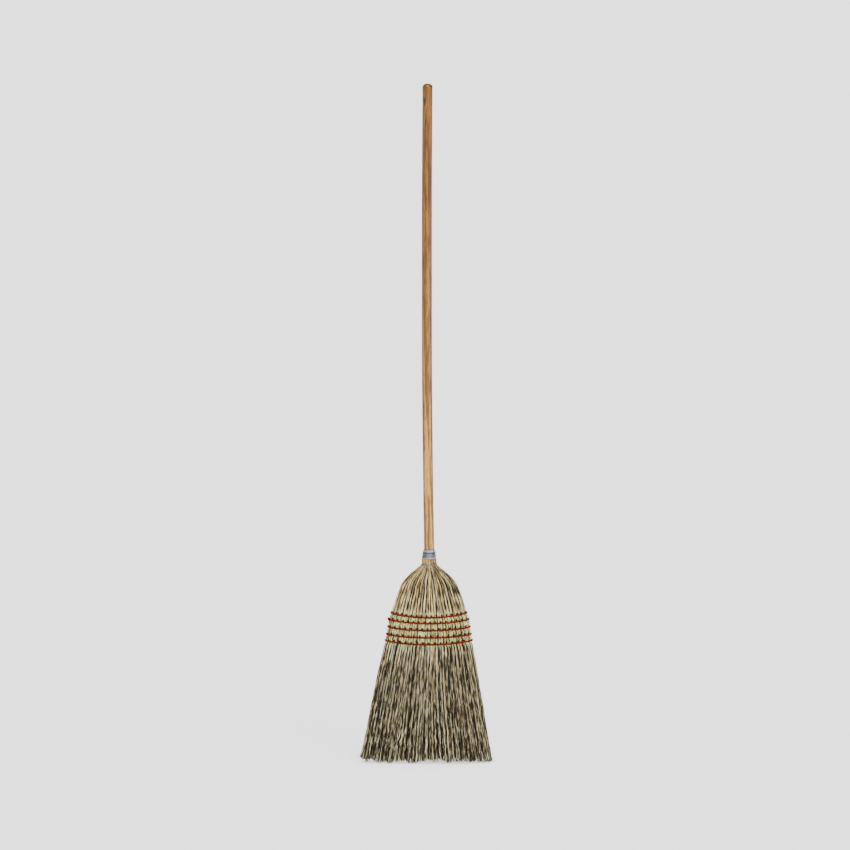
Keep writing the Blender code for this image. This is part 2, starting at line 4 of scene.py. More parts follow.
import bmesh
import bpy
import numpy as np
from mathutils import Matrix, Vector


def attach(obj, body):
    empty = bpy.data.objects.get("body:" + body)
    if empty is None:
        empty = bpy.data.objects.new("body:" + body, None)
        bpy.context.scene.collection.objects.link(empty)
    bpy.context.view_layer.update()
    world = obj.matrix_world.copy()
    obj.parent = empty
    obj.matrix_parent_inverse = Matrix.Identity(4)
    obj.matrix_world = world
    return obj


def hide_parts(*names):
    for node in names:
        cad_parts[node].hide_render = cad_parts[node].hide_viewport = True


# Parlor broom: lacquered stick, wire-bound neck and a flat head of broomcorn sewn with
# five rows of red twine. Metres, +Z up, front towards -Y, straw tips on Z = 0.

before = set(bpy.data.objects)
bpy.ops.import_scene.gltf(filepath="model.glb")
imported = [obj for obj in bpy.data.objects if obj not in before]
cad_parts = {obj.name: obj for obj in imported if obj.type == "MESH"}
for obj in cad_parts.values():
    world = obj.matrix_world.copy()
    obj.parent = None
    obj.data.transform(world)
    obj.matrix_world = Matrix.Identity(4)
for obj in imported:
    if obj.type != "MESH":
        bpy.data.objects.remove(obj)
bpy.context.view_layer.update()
collection = bpy.context.scene.collection
print("frame loaded:", len(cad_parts), "nodes")


# small helpers

def linear(code):
    # sRGB hex to the linear values that the shaders take
    parts = [int(code[i:i + 2], 16) / 255 for i in (0, 2, 4)]
    parts = [p / 12.92 if p <= 0.04045 else ((p + 0.055) / 1.055) ** 2.4 for p in parts]
    return (*parts, 1.0)


def setInputs(node, values):
    # an input takes a value, a socket, or a node's first output in use
    for key, value in values.items():
        if isinstance(value, bpy.types.Node):
            value = next(socket for socket in value.outputs if socket.enabled)
        if isinstance(value, bpy.types.NodeSocket):
            node.id_data.links.new(value, node.inputs[key])
        else:
            node.inputs[key].default_value = value


def addNode(tree, kind, *values, **settings):
    # adds one node: its kind, with an operation after a dot (for a Math node its operation alone),
    # then values for the inputs in use, in their order or as a dictionary by name, and its settings
    kind, _, operation = ("Math." + kind if kind.isupper() else kind).partition(".")
    families = ("ShaderNode", "GeometryNode", "FunctionNode")
    node = tree.nodes.new(next(f + kind for f in families if hasattr(bpy.types, f + kind)))
    if operation:
        node.operation = operation
    for name, value in settings.items():
        setattr(node, name, value)
    if values and not isinstance(values[0], dict):
        inUse = [i for i, socket in enumerate(node.inputs) if socket.enabled]
        values = (dict(zip(inUse, values)),)
    setInputs(node, *values or ({},))
    return node


def addObject(name, data):
    piece = bpy.data.objects.new(name, data)
    collection.objects.link(piece)
    return piece


def addLayer(mesh, name, values, kind="FLOAT"):
    # stores values on a mesh's points
    field = "value" if kind == "FLOAT" else "vector"
    flat = np.asarray(values, np.float32).ravel()
    mesh.attributes.new(name, kind, "POINT").data.foreach_set(field, flat)


def fetch(items, field, kind=np.float32):
    # reads one number of every item
    values = np.zeros(len(items), kind)
    items.foreach_get(field, values)
    return values


def shapeCurve(node, knots):
    # puts straight-sided knots in a Float Curve node
    curve = node.mapping.curves[0]
    while len(curve.points) > 2:
        curve.points.remove(curve.points[1])
    for point, knot in zip(curve.points, (knots[0], knots[-1])):
        point.location = knot
    for knot in knots[1:-1]:
        curve.points.new(*knot)
    for point in curve.points:
        point.handle_type = "VECTOR"
    node.mapping.update()
    return node


def newTree(name, inputs):
    # a Geometry Nodes tree with a named input for each size
    kinds = {bool: "Bool", int: "Int", float: "Float", type(None): "Geometry"}
    tree = bpy.data.node_groups.new(name, "GeometryNodeTree")
    for label, value in inputs.items():
        kind = "NodeSocket" + kinds[type(value)]
        socket = tree.interface.new_socket(label, in_out="INPUT", socket_type=kind)
        if value is not None:
            socket.default_value = value
    tree.interface.new_socket("Geometry", in_out="OUTPUT", socket_type="NodeSocketGeometry")
    given = tree.nodes.new("NodeGroupInput").outputs
    return tree, partial(addNode, tree), given, tree.nodes.new("NodeGroupOutput")


def startStrands(add, given, seedStep):
    # straight strands to be bent, their numbers, places along, and seven random values for each
    line = add("ResampleCurve", {"Curve": add("CurvePrimitiveLine"), "Count": given["Points"]})
    strands = add("InstanceOnPoints", {"Points": add("Points", given["Count"]), "Instance": line})
    strand = add("CurveOfPoint")
    own = [add("RandomValue", {"ID": strand, "Seed": add("ADD", given["Seed"], seedStep * k)})
           for k in range(7)]
    return add("RealizeInstances", strands), strand, add("SplineParameter"), own


def skinTubes(add, curves, scale, sides, material):
    # the skin of sets of tubes, marked round its edge for its map
    rim = add("StoreNamedAttribute", add("CurvePrimitiveCircle", sides, 1.0), True, "around",
              add("SplineParameter"))
    joined = add("JoinGeometry")
    for curve in curves:
        setInputs(joined, {0: add("CurveToMesh", curve, rim, scale, True)})
    skin = add("RealizeInstances", add("SetShadeSmooth", joined))
    return add("SetMaterial", {"Geometry": skin, "Material": material})


def newMaterial(name):
    material = bpy.data.materials.new(name)
    material.use_nodes = True
    tree = material.node_tree
    return material, partial(addNode, tree), tree.nodes["Principled BSDF"]


def fillRamp(ramp, stops):
    # puts stops, each a place and an sRGB colour, in a Color Ramp node
    elements = ramp.color_ramp.elements
    while len(elements) < len(stops):
        elements.new(0.5)
    for element, (spot, code) in zip(elements, stops):
        element.position = spot
        element.color = linear(code)
    return ramp


def grow(name, source, tree, values):
    # runs a tree on a source mesh and leaves its result as a plain mesh
    piece = addObject(name, source)
    modifier = piece.modifiers.new(tree.name, "NODES")
    modifier.node_group = tree
    for item in tree.interface.items_tree:
        if item.in_out == "INPUT" and item.name in values:
            modifier[item.identifier] = values[item.name]
    depsgraph = bpy.context.evaluated_depsgraph_get()
    mesh = bpy.data.meshes.new_from_object(piece.evaluated_get(depsgraph), depsgraph=depsgraph)
    piece.modifiers.clear()
    piece.data = mesh
    mesh.name = name
    triangles = sum(len(face.vertices) - 2 for face in mesh.polygons)
    print(name, "grown:", triangles, "triangles")
    return piece


def readTable(table, places, column):
    # smooth curve through a table's rows
    xs = np.array([row[0] for row in table])
    ys = np.array([row[column] for row in table])
    steps = np.diff(ys) / np.diff(xs)
    slopes = np.concatenate(([steps[0]], (steps[1:] + steps[:-1]) / 2, [steps[-1]]))
    flat = np.concatenate(([False], steps[1:] * steps[:-1] <= 0, [False]))
    slopes[flat] = 0
    places = np.clip(places, xs[0], xs[-1])
    i = np.clip(np.searchsorted(xs, places) - 1, 0, len(xs) - 2)
    span = xs[i + 1] - xs[i]
    t = (places - xs[i]) / span
    start = (1 + 2 * t) * (1 - t) ** 2 * ys[i] + t * (1 - t) ** 2 * slopes[i] * span
    end = t * t * (3 - 2 * t) * ys[i + 1] - t * t * (1 - t) * slopes[i + 1] * span
    return start + end


# shape of the whole broom, shared by the pieces below

broomShape = {
    "height": 1.420, "neckSway": 0.0054,
    "sway": (  # height share, then share of the sway
        (0.000, 0.00), (0.063, 0.22), (0.129, 0.43), (0.166, 0.76), (0.210, 1.00),
        (0.316, 1.00), (0.387, 0.72), (0.564, 0.22), (0.700, 0.15), (0.800, 0.15), (1.000, 0.39),
    ),
}

headShape = {
    "headHeight": 0.413, "topRowDrop": 0.1063, "throatRadius": 0.0147, "halfWidth": 0.138,
    "halfThickness": 0.026,
    "outline": (  # place, width growth, thickness growth, squareness
        (0.000, 0.020, 0.06, 2.0), (0.024, 0.045, 0.12, 2.0), (0.073, 0.109, 0.22, 2.0),
        (0.132, 0.167, 0.36, 2.0), (0.210, 0.248, 0.54, 2.1), (0.292, 0.307, 0.70, 2.1),
        (0.369, 0.351, 0.81, 2.2), (0.485, 0.390, 0.93, 2.2), (0.645, 0.441, 1.00, 2.3),
        (0.882, 0.504, 0.97, 2.4), (1.095, 0.585, 0.91, 2.5), (1.232, 0.646, 0.91, 2.5),
        (1.368, 0.718, 0.95, 2.5), (1.642, 0.844, 1.09, 2.6), (2.000, 1.000, 1.35, 2.8),
    ),
    "neck": (  # height and radius of the bound straw
        (0.4130, 0.0147), (0.4184, 0.0147), (0.4199, 0.0158), (0.4263, 0.0158),
        (0.4278, 0.0134), (0.4415, 0.01135),
    ),
    "neckTop": 0.4415, "sagTop": 0.3820, "splitHeight": 0.2340,
}

twineRows = {
    "heights": (0.3067, 0.2942, 0.2794, 0.2642, 0.2499),  # in the middle of the front
    "sags": (0.0075, 0.0065, 0.0055, 0.0052, 0.0065),  # rise to the sides
    "grooveHalf": 0.0071, "grooveDepth": 0.0022,
    "dimpleDepth": 0.0022,  # where a stitch goes in, above the row
    "dimpleWidth": 0.0017, "dimpleRise": 0.0030,
    "dotRise": 0.0025,  # the painted shadow in a stitch hole and its size
    "dotSize": (0.0016, 0.0014),
    "pressed": 0.0036,  # straw this close to a row is greener
    "stitchSpacing": 0.0128,
    "stitchShift": 0.37,  # from row to row, as a share of the spacing
}


def swayAt(z):
    return broomShape["neckSway"] * readTable(broomShape["sway"], z / broomShape["height"], 1)


def placeAt(z):
    # 0 at the throat, 1 at the top row of twine, 2 on the floor
    top = headShape["headHeight"] - headShape["topRowDrop"]
    above = (headShape["headHeight"] - z) / headShape["topRowDrop"]
    return np.where(z >= top, above, 1 + (top - z) / top)


def sectionAt(z, column):
    # column 1 is the half width, 2 the half thickness and 3 the squareness
    values = readTable(headShape["outline"], placeAt(z), column)
    if column == 3:
        return values
    full = headShape["halfWidth"] if column == 1 else headShape["halfThickness"]
    throat = headShape["throatRadius"]
    size = throat + values * (full - throat)
    heights, radii = zip(*headShape["neck"])
    return np.where(z > headShape["headHeight"], np.interp(z, heights, radii), size)


def sagAt(z):
    # how far the sides of a level line of straw stand above its middle
    heights = [0.0, headShape["splitHeight"], *twineRows["heights"][::-1], headShape["sagTop"], 1.0]
    sags = [0.0, 0.0, *twineRows["sags"][::-1], 0.0, 0.0]
    return np.interp(z, heights, sags)


def superellipse(a, b, power, angle):
    c, s = np.cos(angle), np.sin(angle)
    return a * np.sign(c) * abs(c) ** (2 / power), b * np.sign(s) * abs(s) ** (2 / power)


def evenAngles(count, z):
    # angles that are evenly spaced along the outline at one height
    fine = np.linspace(0, 2 * math.pi, 40001)
    x, y = superellipse(sectionAt(z, 1), sectionAt(z, 2), sectionAt(z, 3), fine)
    run = np.concatenate(([0], np.cumsum(np.hypot(np.diff(x), np.diff(y)))))
    return np.interp(np.linspace(0, run[-1], count + 1), run, fine), run[-1]


print("shape tables ready")


# guide surface: the outside of the straw, with its twine grooves and stitch dimples, and a shade layer
# of painted shade and light that the straw's tone reads

guideGrid = {"columns": 384, "evenHeight": 0.250}
# strengths of the painted shade in the stitch holes and along the side edges, and of the painted light
# beside the rows (below zero)
guideShade = {"holeShadow": 1.70, "besideRow": -0.14, "side": 0.16, "sideReach": 30}
# painted shade in gaps just below the throat wire: gap count, heights where it fades in and out,
# strength, unevenness
throatGapShade = {"gaps": 23, "heights": (0.345, 0.380, 0.402, 0.409), "depth": 0.55, "uneven": (0.3, 90)}


def buildGuide():
    top = headShape["neckTop"]
    heights = np.concatenate((
        np.arange(top, 0.4125, -0.001), np.arange(0.4125, 0.318, -0.0025),
        np.arange(0.318, 0.232, -0.0013), np.linspace(0.232, 0.0, 32),
    ))
    columns = guideGrid["columns"]
    angles, run = evenAngles(columns, guideGrid["evenHeight"])
    z, angle = heights[:, None], angles[None, :]
    sag = sagAt(z)
    a = sectionAt(z + sag, 1)
    b = sectionAt(z, 2)
    groove = np.zeros_like(z)
    for rowHeight in twineRows["heights"]:
        reach = np.clip(abs(z - rowHeight) / twineRows["grooveHalf"], 0, 1)
        groove += twineRows["grooveDepth"] * (0.5 + 0.5 * np.cos(math.pi * reach))
    x, y = superellipse(a - groove, b - groove, sectionAt(z, 3), angle)
    share = x / (a - groove)
    # each stitch pulls the straw in where it enters
    arc = np.linspace(0, run, columns + 1)[None, :]
    dimple = np.zeros_like(x)
    shade = np.zeros_like(x)
    stitches = round(run / twineRows["stitchSpacing"])
    for row, rowHeight in enumerate(twineRows["heights"]):
        phase = (arc * stitches / run + twineRows["stitchShift"] * row) % 1 - 0.5
        across = phase * twineRows["stitchSpacing"] / twineRows["dimpleWidth"]
        along = (z - rowHeight - twineRows["dimpleRise"]) / twineRows["dimpleWidth"]
        dimple += twineRows["dimpleDepth"] * np.exp(-across ** 2 - along ** 2)
        # painted shadow in each stitch hole, just above the row
        dotWidth, dotHeight = twineRows["dotSize"]
        dotAcross = phase * twineRows["stitchSpacing"] / dotWidth
        dotAlong = (z - rowHeight - twineRows["dotRise"]) / dotHeight
        shade += guideShade["holeShadow"] * np.exp(-dotAcross ** 2 - dotAlong ** 2)
        # painted highlight: lighter straw just above and below each row
        beside = (abs(z - rowHeight) - twineRows["dimpleRise"]) / twineRows["dimpleWidth"]
        shade += guideShade["besideRow"] * np.exp(-beside ** 2)
    # painted shade along the head's left and right edges
    shade += guideShade["side"] * abs(share) ** guideShade["sideReach"]
    # painted shade: dark gaps between the straws just below the throat wire, only in the tone, not in
    # the shape
    uneven = throatGapShade["uneven"][0] * np.sin(arc * throatGapShade["uneven"][1])
    gapShadeWave = np.cos(2 * math.pi * (arc / run * throatGapShade["gaps"] + uneven))
    fade = np.interp(z, throatGapShade["heights"], (0.0, 1.0, 1.0, 0.0))
    shade += throatGapShade["depth"] * fade * np.clip(gapShadeWave, 0, 1) ** 2
    inward = np.hypot(x / a ** 2, y / b ** 2)
    x -= dimple * x / a ** 2 / inward
    y -= dimple * y / b ** 2 / inward
    points = np.stack((x + swayAt(z), y, z + sag * share ** 2), axis=-1).reshape(-1, 3)
    rows = len(heights)
    corner = (np.arange(rows - 1)[:, None] * (columns + 1) + np.arange(columns)[None, :]).ravel()
    faces = np.stack((corner, corner + columns + 1, corner + columns + 2, corner + 1), axis=-1)
    guide = bpy.data.meshes.new("strawGuide")
    guide.from_pydata(points.tolist(), [], faces.tolist())
    uv = np.zeros((rows, columns + 1, 3))
    uv[..., 0] = np.linspace(0, 1, columns + 1)[None, :]
    uv[..., 1] = 1 - heights[:, None] / top
    addLayer(guide, "place", uv, "FLOAT_VECTOR")
    normals = np.zeros(len(points) * 3)
    guide.vertex_normals.foreach_get("vector", normals)
    addLayer(guide, "outward", normals, "FLOAT_VECTOR")
    addLayer(guide, "shade", np.broadcast_to(shade, x.shape))
    print("guide surface:", rows, "rows, girth", round(run * 1000), "mm at the stitches")
    return guide


strawGuide = buildGuide()


# straw strands of the covers, grown by one tree: stout stalks from the neck through the
# sewing, fill that starts between them on the shoulder, and fine fibres below the sewing

coverStalks = {
    "Count": 240, "Sides": 4, "Start": 0.002, "Start Spread": 0.0, "Sewn": 1.0, "Depth": 0.0006,
    "Depth Spread": 0.0014, "Rise": 0.0, "Radius": 0.00102, "Tip Share": 0.40, "Wave": 0.0027,
    "Clumps": 70, "Clump Pull": 0.35, "Clump Groove": 0.009, "Ragged": 0.012, "Stray": 0.005,
    "Tone": 0.83, "Tone Spread": 0.70, "Clump Tone": 0.0, "Edge Shade": 1.30, "Deep Shade": 0.20,
}
shoulderStraws = {
    **coverStalks, "Count": 130, "Start": 0.03, "Start Spread": 0.14, "Depth": 0.0014, "Rise": 0.003,
    "Radius": 0.0010, "Tip Share": 0.5, "Tone": 0.76, "Tone Spread": 1.00, "Edge Shade": 1.20,
    "Deep Shade": 0.25,
}
coverFibres = {
    "Count": 1000, "Sides": 3, "Start": 0.42, "Start Spread": 0.14, "Sewn": 0.0, "Depth": 0.0012,
    "Depth Spread": 0.0055, "Rise": 0.0025, "Radius": 0.00075, "Tip Share": 0.6, "Wave": 0.0036,
    "Clumps": 88, "Clump Pull": 0.35, "Clump Groove": 0.011, "Ragged": 0.014, "Stray": 0.007,
    "Tone": 0.77, "Tone Spread": 0.55, "Clump Tone": 0.0, "Edge Shade": 1.15, "Deep Shade": 0.75,
}
fibrePoints = 27

raggedEdge = {  # how the lower edge is worn: shares of a piece's own Ragged length
    "notches": 13.0,  # places across the head where the straw is shorter
    "notch": 0.55, "clump": 0.20, "own": 0.25,
    "noise": (0.40, 0.64),  # from no notch to a full one
    "tip": 6.0,  # how near the tip the wear begins, as a power
}
strandShape = {  # heights here run from 0 at the top of the neck to 1 on the floor
    "upperSteps": 12, "lowerSteps": 22,  # points above the sewing and below it
    "aboveRow": 0.0052,  # metres from a row up to the point that lifts the straw out of its groove
    "spread": (0.48, 0.95),  # where the straws draw together in clumps
    "fold": 0.73, "upperFold": (0.30, 0.26),  # broader bundles on the shoulder, and their end
    "waves": ((1.0, 17.0, 2.4), (6.7, 27.0, 2.0)),  # of a clump and of a straw: step, pace, amount
    "waving": ((0.0, 0.03), (0.07, 0.05), (0.14, 0.22), (0.24, 0.26), (0.31, 0.10), (0.45, 0.12),
               (0.50, 0.45), (0.65, 0.85), (1.0, 1.0)),
    "room": ((0.0, 0.32), (0.05, 0.38), (0.10, 0.55), (0.2, 0.9), (0.3, 1.0), (1.0, 1.0)),
    "layers": 0.0012,  # metres that one clump can lie under another
    "least": (-0.0016, 0.0006),  # least depth: its change over the spread, and where sewn
    "freshEnd": 0.08,  # how far below its start a fibre has sunk into the surface
    "floor": (-9.0, -9.0, 0.0003),  # no point of a strand's line lies lower than this
    "thickness": ((0.0, 0.34), (0.05, 0.40), (0.09, 0.50), (0.18, 0.78), (0.30, 1.0), (0.42, 1.0),
                  (0.55, 0.92), (1.0, 0.85)),
    "stout": (0.5, 0.75),  # spread of the thickness from straw to straw, and its least share
    "clumpMiddle": (0.4, 0.3),
    "dipShade": (5.3, 24.0), "dipShadeRange": (0.34, 0.66, -0.62, 0.62),  # painted dark and light lengths of a straw
    "gap": (7.3, 30.0), "gaps": (0.34, 0.64, 0.75, 1.60),  # uneven painted shade between the clumps
    "toneCurve": 1.7, "evened": (0.40, 0.60), "gapEdge": (-0.9, 2.3), "spots": 0.90,
    "sides": (0.70, 1.0, 0.0, 0.75),  # where the shoulder's edge loses its painted gap shade
    "evenTone": (  # painted light: the tone is lifted and evened most where sewn, less at the neck and the tips
        (0.0, 0.35), (0.06, 0.20), (0.10, 0.02), (0.20, 0.10), (0.26, 0.20), (0.295, 0.90),
        (0.437, 0.90), (0.449, 0.20), (0.50, 0.05), (0.8, 0.03), (0.88, 0.05), (0.95, 0.16),
        (1.0, 0.40)),
}


def wearNotch(add, place):
    # how much shorter the straw is at a place along the worn edge
    noise = add("TexNoise", {"W": place, "Scale": 1.0, "Detail": 1.0}, noise_dimensions="1D")
    return add("MapRange", noise, *raggedEdge["noise"])


def waveStrand(add, number, step, height, pace, detail):
    # how a strand, or a clump of them, wanders along its height
    w, v = add("MULTIPLY", number, step), add("MULTIPLY", height, pace)
    noise = add("TexNoise", {"W": w, "Vector": add("CombineXYZ", v, w), "Scale": 1.0, "Detail": detail},
                noise_dimensions="4D")
    return add("VectorMath.SUBTRACT", noise.outputs["Color"], (0.5, 0.5, 0.5))


def patchNoise(add, number, height, paces, reach):
    # light and dark lengths along a strand or a gap
    spot = add("CombineXYZ", add("MULTIPLY", number, paces[0]), add("MULTIPLY", height, paces[1]))
    noise = add("TexNoise", {"Vector": spot, "Scale": 1.0, "Detail": 1.0}, noise_dimensions="2D")
    return add("MapRange", noise, *reach)


def buildStrandTree(material):
    shape, top = strandShape, headShape["neckTop"]
    tree, add, given, result = newTree("strawStrands", {
        "Guide": None, "Points": fibrePoints, "Side Start": 0.0, "Side Span": 0.5, "Seed": 1,
        **coverStalks})
    strands, strand, along, own = startStrands(add, given, 17.0)
    share = add("DIVIDE", add("ADD", own[0], strand), given["Count"])
    side = add("MULTIPLY_ADD", share, given["Side Span"], given["Side Start"])
    cell = add("MULTIPLY", side, given["Clumps"])
    clump = add("FLOOR", cell)
    shared = [add("RandomValue", {"ID": clump, "Seed": 301 + 13 * k}) for k in range(4)]
    middle = add("ADD", clump, add("MULTIPLY_ADD", shared[0], *shape["clumpMiddle"]))
    fromMiddle = add("SUBTRACT", cell, middle)
    fold = add("MULTIPLY", cell, shape["fold"])
    foldNumber = add("FLOOR", fold)
    fromFold = add("SUBTRACT", add("SUBTRACT", fold, foldNumber), 0.5)
    foldTone = add("RandomValue", {"ID": foldNumber, "Seed": 377})
    # 0 at the left edge of the head and 0.5 at its right one, seen from the front
    across = add("ABSOLUTE", add("SUBTRACT", side, 0.5))
    notch = wearNotch(add, add("MULTIPLY", across, 2 * raggedEdge["notches"]))

    # height on the guide: sewn stalks have their points where the twine pinches them
    start = add("MULTIPLY_ADD", own[1], given["Start Spread"], given["Start"])
    rows = twineRows["heights"]
    gap = twineRows["grooveHalf"]
    sewnHeights = []
    for rowHeight in rows:
        first = rowHeight == rows[0]
        sewnHeights += [rowHeight + (gap if first else shape["aboveRow"]),
                        rowHeight + twineRows["dotRise"], rowHeight, rowHeight - gap / 2]
        sewnHeights += [] if first else [rowHeight - gap]
    sewnHeights += list(np.linspace(sewnHeights[-1], 0.0, shape["lowerSteps"] + 1)[1:])
    upperSteps = shape["upperSteps"]
    steps = upperSteps + len(sewnHeights) - 1
    knots = [(0.0, 1 - sewnHeights[0] / top)]
    knots += [((upperSteps + i) / steps, 1 - height / top) for i, height in enumerate(sewnHeights)]
    sewn = shapeCurve(add("FloatCurve", 1.0, along), knots)
    run = add("POWER", add("MapRange", along, 0.0, upperSteps / steps), 1.5)
    upper = add("SUBTRACT", add("ADD", add("Mix", run, start, knots[0][1]), sewn), knots[0][1])
    height = add("Mix", given["Sewn"], add("Mix", along, start, 1.0), upper)
    uneven = add("MULTIPLY", own[2], raggedEdge["own"])
    uneven = add("MULTIPLY_ADD", shared[1], raggedEdge["clump"], uneven)
    uneven = add("MULTIPLY_ADD", notch, raggedEdge["notch"], uneven)
    short = add("MULTIPLY", given["Ragged"], 1 / top)
    nearTip = add("POWER", along, raggedEdge["tip"])
    short = add("MULTIPLY", add("MULTIPLY", short, nearTip), uneven)
    height = add("SUBTRACT", height, short)

    # below the sewing the strands draw together in clumps, and both wave
    spread = add("MapRange", height, *shape["spread"], interpolation_type="SMOOTHSTEP")
    pulled = add("Mix", add("MULTIPLY", spread, given["Clump Pull"]), cell, middle)
    spot = add("CombineXYZ", add("DIVIDE", pulled, given["Clumps"]), height)
    place = add("InputNamedAttribute", "place", data_type="FLOAT_VECTOR")
    surface = add("InputPosition")
    outward = add("InputNamedAttribute", "outward", data_type="FLOAT_VECTOR")
    point = add("SampleUVSurface", given["Guide"], surface, place, spot, data_type="FLOAT_VECTOR")
    normal = add("SampleUVSurface", given["Guide"], outward, place, spot, data_type="FLOAT_VECTOR")
    level = add("VectorMath.NORMALIZE", add("VectorMath.CROSS_PRODUCT", normal, (0, 0, 1)))

    waves = []
    for number, (step, pace, amount) in zip((clump, strand), shape["waves"]):
        lift = waveStrand(add, number, step, height, pace, 2.0)
        waves.append(add("VectorMath.SCALE", lift, amount))
    wave = add("VectorMath.ADD", *waves)
    grown = shapeCurve(add("FloatCurve", 1.0, height), shape["waving"])
    reach = add("MULTIPLY", grown, given["Wave"])
    wave = add("SeparateXYZ", add("VectorMath.SCALE", wave, reach))

    # depth under the surface: fine at the bound neck, deeper at the edges of a clump
    room = shapeCurve(add("FloatCurve", 1.0, height), shape["room"])
    depth = add("MULTIPLY_ADD", own[3], given["Depth Spread"], given["Depth"])
    depth = add("MULTIPLY", depth, room)
    upperFold = add("MapRange", height, *shape["upperFold"])
    aside = add("Mix", upperFold, fromMiddle, fromFold)
    groove = add("MULTIPLY", add("MULTIPLY", aside, aside), given["Clump Groove"])
    parted = add("MULTIPLY_ADD", upperFold, 0.5, add("MULTIPLY_ADD", spread, 0.7, 0.3))
    groove = add("MULTIPLY", groove, parted)
    depth = add("ADD", depth, groove)
    depth = add("MULTIPLY_ADD", add("MULTIPLY", shared[3], shape["layers"]), spread, depth)
    depth = add("ADD", depth, add("MULTIPLY", wave.outputs[1], 0.6))
    stray = add("MULTIPLY", add("MULTIPLY", add("POWER", own[6], 7.0), nearTip), given["Stray"])
    least = add("MULTIPLY_ADD", spread, *shape["least"])
    depth = add("SUBTRACT", add("MAXIMUM", depth, least), stray)
    fresh = add("SUBTRACT", height, start)
    fresh = add("MapRange", fresh, 0.0, shape["freshEnd"], 1.0, 0.0, interpolation_type="SMOOTHSTEP")
    fresh = add("MULTIPLY", fresh, given["Rise"])
    depth = add("ADD", depth, fresh)
    inward = add("VectorMath.SCALE", normal, add("MULTIPLY", depth, -1.0))
    sideways = add("VectorMath.SCALE", level, wave.outputs[0])
    position = add("VectorMath.ADD", add("VectorMath.ADD", point, inward), sideways)
    position = add("VectorMath.MAXIMUM", position, strandShape["floor"])

    # thickness, and what the material reads
    thick = shapeCurve(add("FloatCurve", 1.0, height), shape["thickness"])
    thick = add("MULTIPLY", thick, add("MULTIPLY_ADD", own[4], *strandShape["stout"]))
    thin = add("Mix", along, 1.0, given["Tip Share"])
    thick = add("MULTIPLY", add("MULTIPLY", thick, thin), given["Radius"])
    alike = add("Mix", spread, 0.12, given["Clump Tone"])
    tone = add("POWER", own[5], shape["toneCurve"])
    groupTone = add("Mix", upperFold, shared[2], foldTone)
    tone = add("SUBTRACT", add("Mix", alike, tone, groupTone), 0.5)
    tone = add("MULTIPLY_ADD", tone, given["Tone Spread"], given["Tone"])
    # painted shade: a strand that lies deeper gets a darker tone
    tone = add("SUBTRACT", tone, add("MULTIPLY", own[3], given["Deep Shade"]))
    # painted shade and light along a strand: darker where it would dip under its neighbours, lighter
    # elsewhere; its shape doesn't follow
    dipShade = patchNoise(add, strand, height, shape["dipShade"], shape["dipShadeRange"])
    tone = add("MULTIPLY_ADD", dipShade, add("MULTIPLY_ADD", upperFold, -0.15, 1.0), tone)
    # painted light that lifts and evens the tone by height
    even = shapeCurve(add("FloatCurve", 1.0, height), shape["evenTone"])
    tone = add("Mix", even, tone, add("MULTIPLY_ADD", tone, *shape["evened"]))
    # painted shade in the gaps between clumps, held back where the straw is sewn and at the shoulder's
    # sides
    edge = add("ABSOLUTE", add("MULTIPLY", aside, 2.0))
    sharp = add("MULTIPLY_ADD", spread, *shape["gapEdge"])
    edge = add("MULTIPLY", add("POWER", edge, sharp), given["Edge Shade"])
    gapWidth = patchNoise(add, add("ROUND", cell), height, shape["gap"], shape["gaps"])
    edge = add("MULTIPLY", add("MULTIPLY", edge, gapWidth), add("MULTIPLY_ADD", even, -0.50, 1.0))
    fromSide = add("ABSOLUTE", add("MULTIPLY_ADD", across, 4.0, -1.0))
    fromSide = add("MULTIPLY", add("MapRange", fromSide, *shape["sides"]), upperFold)
    fromSide = add("SUBTRACT", 1.0, fromSide)
    edge = add("MULTIPLY", edge, fromSide)
    tone = add("SUBTRACT", tone, edge)
    # the guide's painted shade and light: stitch-hole shadows, lighter straw beside the rows, dark side
    # edges and throat gaps
    spots = add("InputNamedAttribute", "shade")
    spots = add("SampleUVSurface", given["Guide"], spots, place, spot)
    spots = add("MULTIPLY", spots, shape["spots"])
    tone = add("SUBTRACT", tone, spots)
    # stored while the strands are still straight, because a curve's own factor follows its length
    for name, value in (("tone", tone), ("fall", height), ("strand", strand), ("along", along),
                        ("hue", own[6]), ("thick", thick)):
        strands = add("StoreNamedAttribute", strands, True, name, value)
    strands = add("SetPosition", {"Geometry": strands, "Position": position})
    thick = add("InputNamedAttribute", "thick")
    setInputs(result, {0: skinTubes(add, [strands], thick, given["Sides"], material)})
    return tree, steps + 1


# broomcorn straw: dry grass stalks, peeled and dyed a little green in the trade, so each one has
# its own tan, grey-green or brown and a soft waxy sheen; they turn browner towards the tips

strawColours = {
    "stops": (
        (0.00, "0e0904"), (0.16, "2e2417"), (0.32, "5f5440"), (0.48, "887d66"),
        (0.64, "aaa085"), (0.82, "d3c9a8"), (1.00, "fff8dc"),
    ),
    "tints": (  # how light each one leaves the straw, and the hues that have it
        ("94987c", 1.0, (0.55, 0.80, 0.0, 0.40)), ("a8821e", 0.82, (0.30, 0.12, 0.0, 0.50)),
    ),
    "byHeight": (  # yellower at the collar, lighter in the sewn band as painted light, greyer and darker below the sewing, lighter again towards the tips
        (0.000, "f2d08c"), (0.055, "f6d898"), (0.075, "ffeecc"), (0.288, "fbf2d4"),
        (0.452, "f6f2e6"), (0.500, "efeadc"),
        (0.580, "c9c4b5"), (0.680, "d1ccbe"), (0.800, "ebe6d9"), (0.930, "fffaee"), (1.000, "fffdf4"),
    ),
    "besideRows": "d2ffc4",
    "betweenRows": "fff6d4",
    "fibres": (1 / 0.0005, 1 / 0.0005, 1 / 0.012),  # real 0.2 mm fibres, drawn at 0.5 mm to show
    "blotches": (220.0, 220.0, 65.0),
    "roughness": (0.47, 0.71),
}


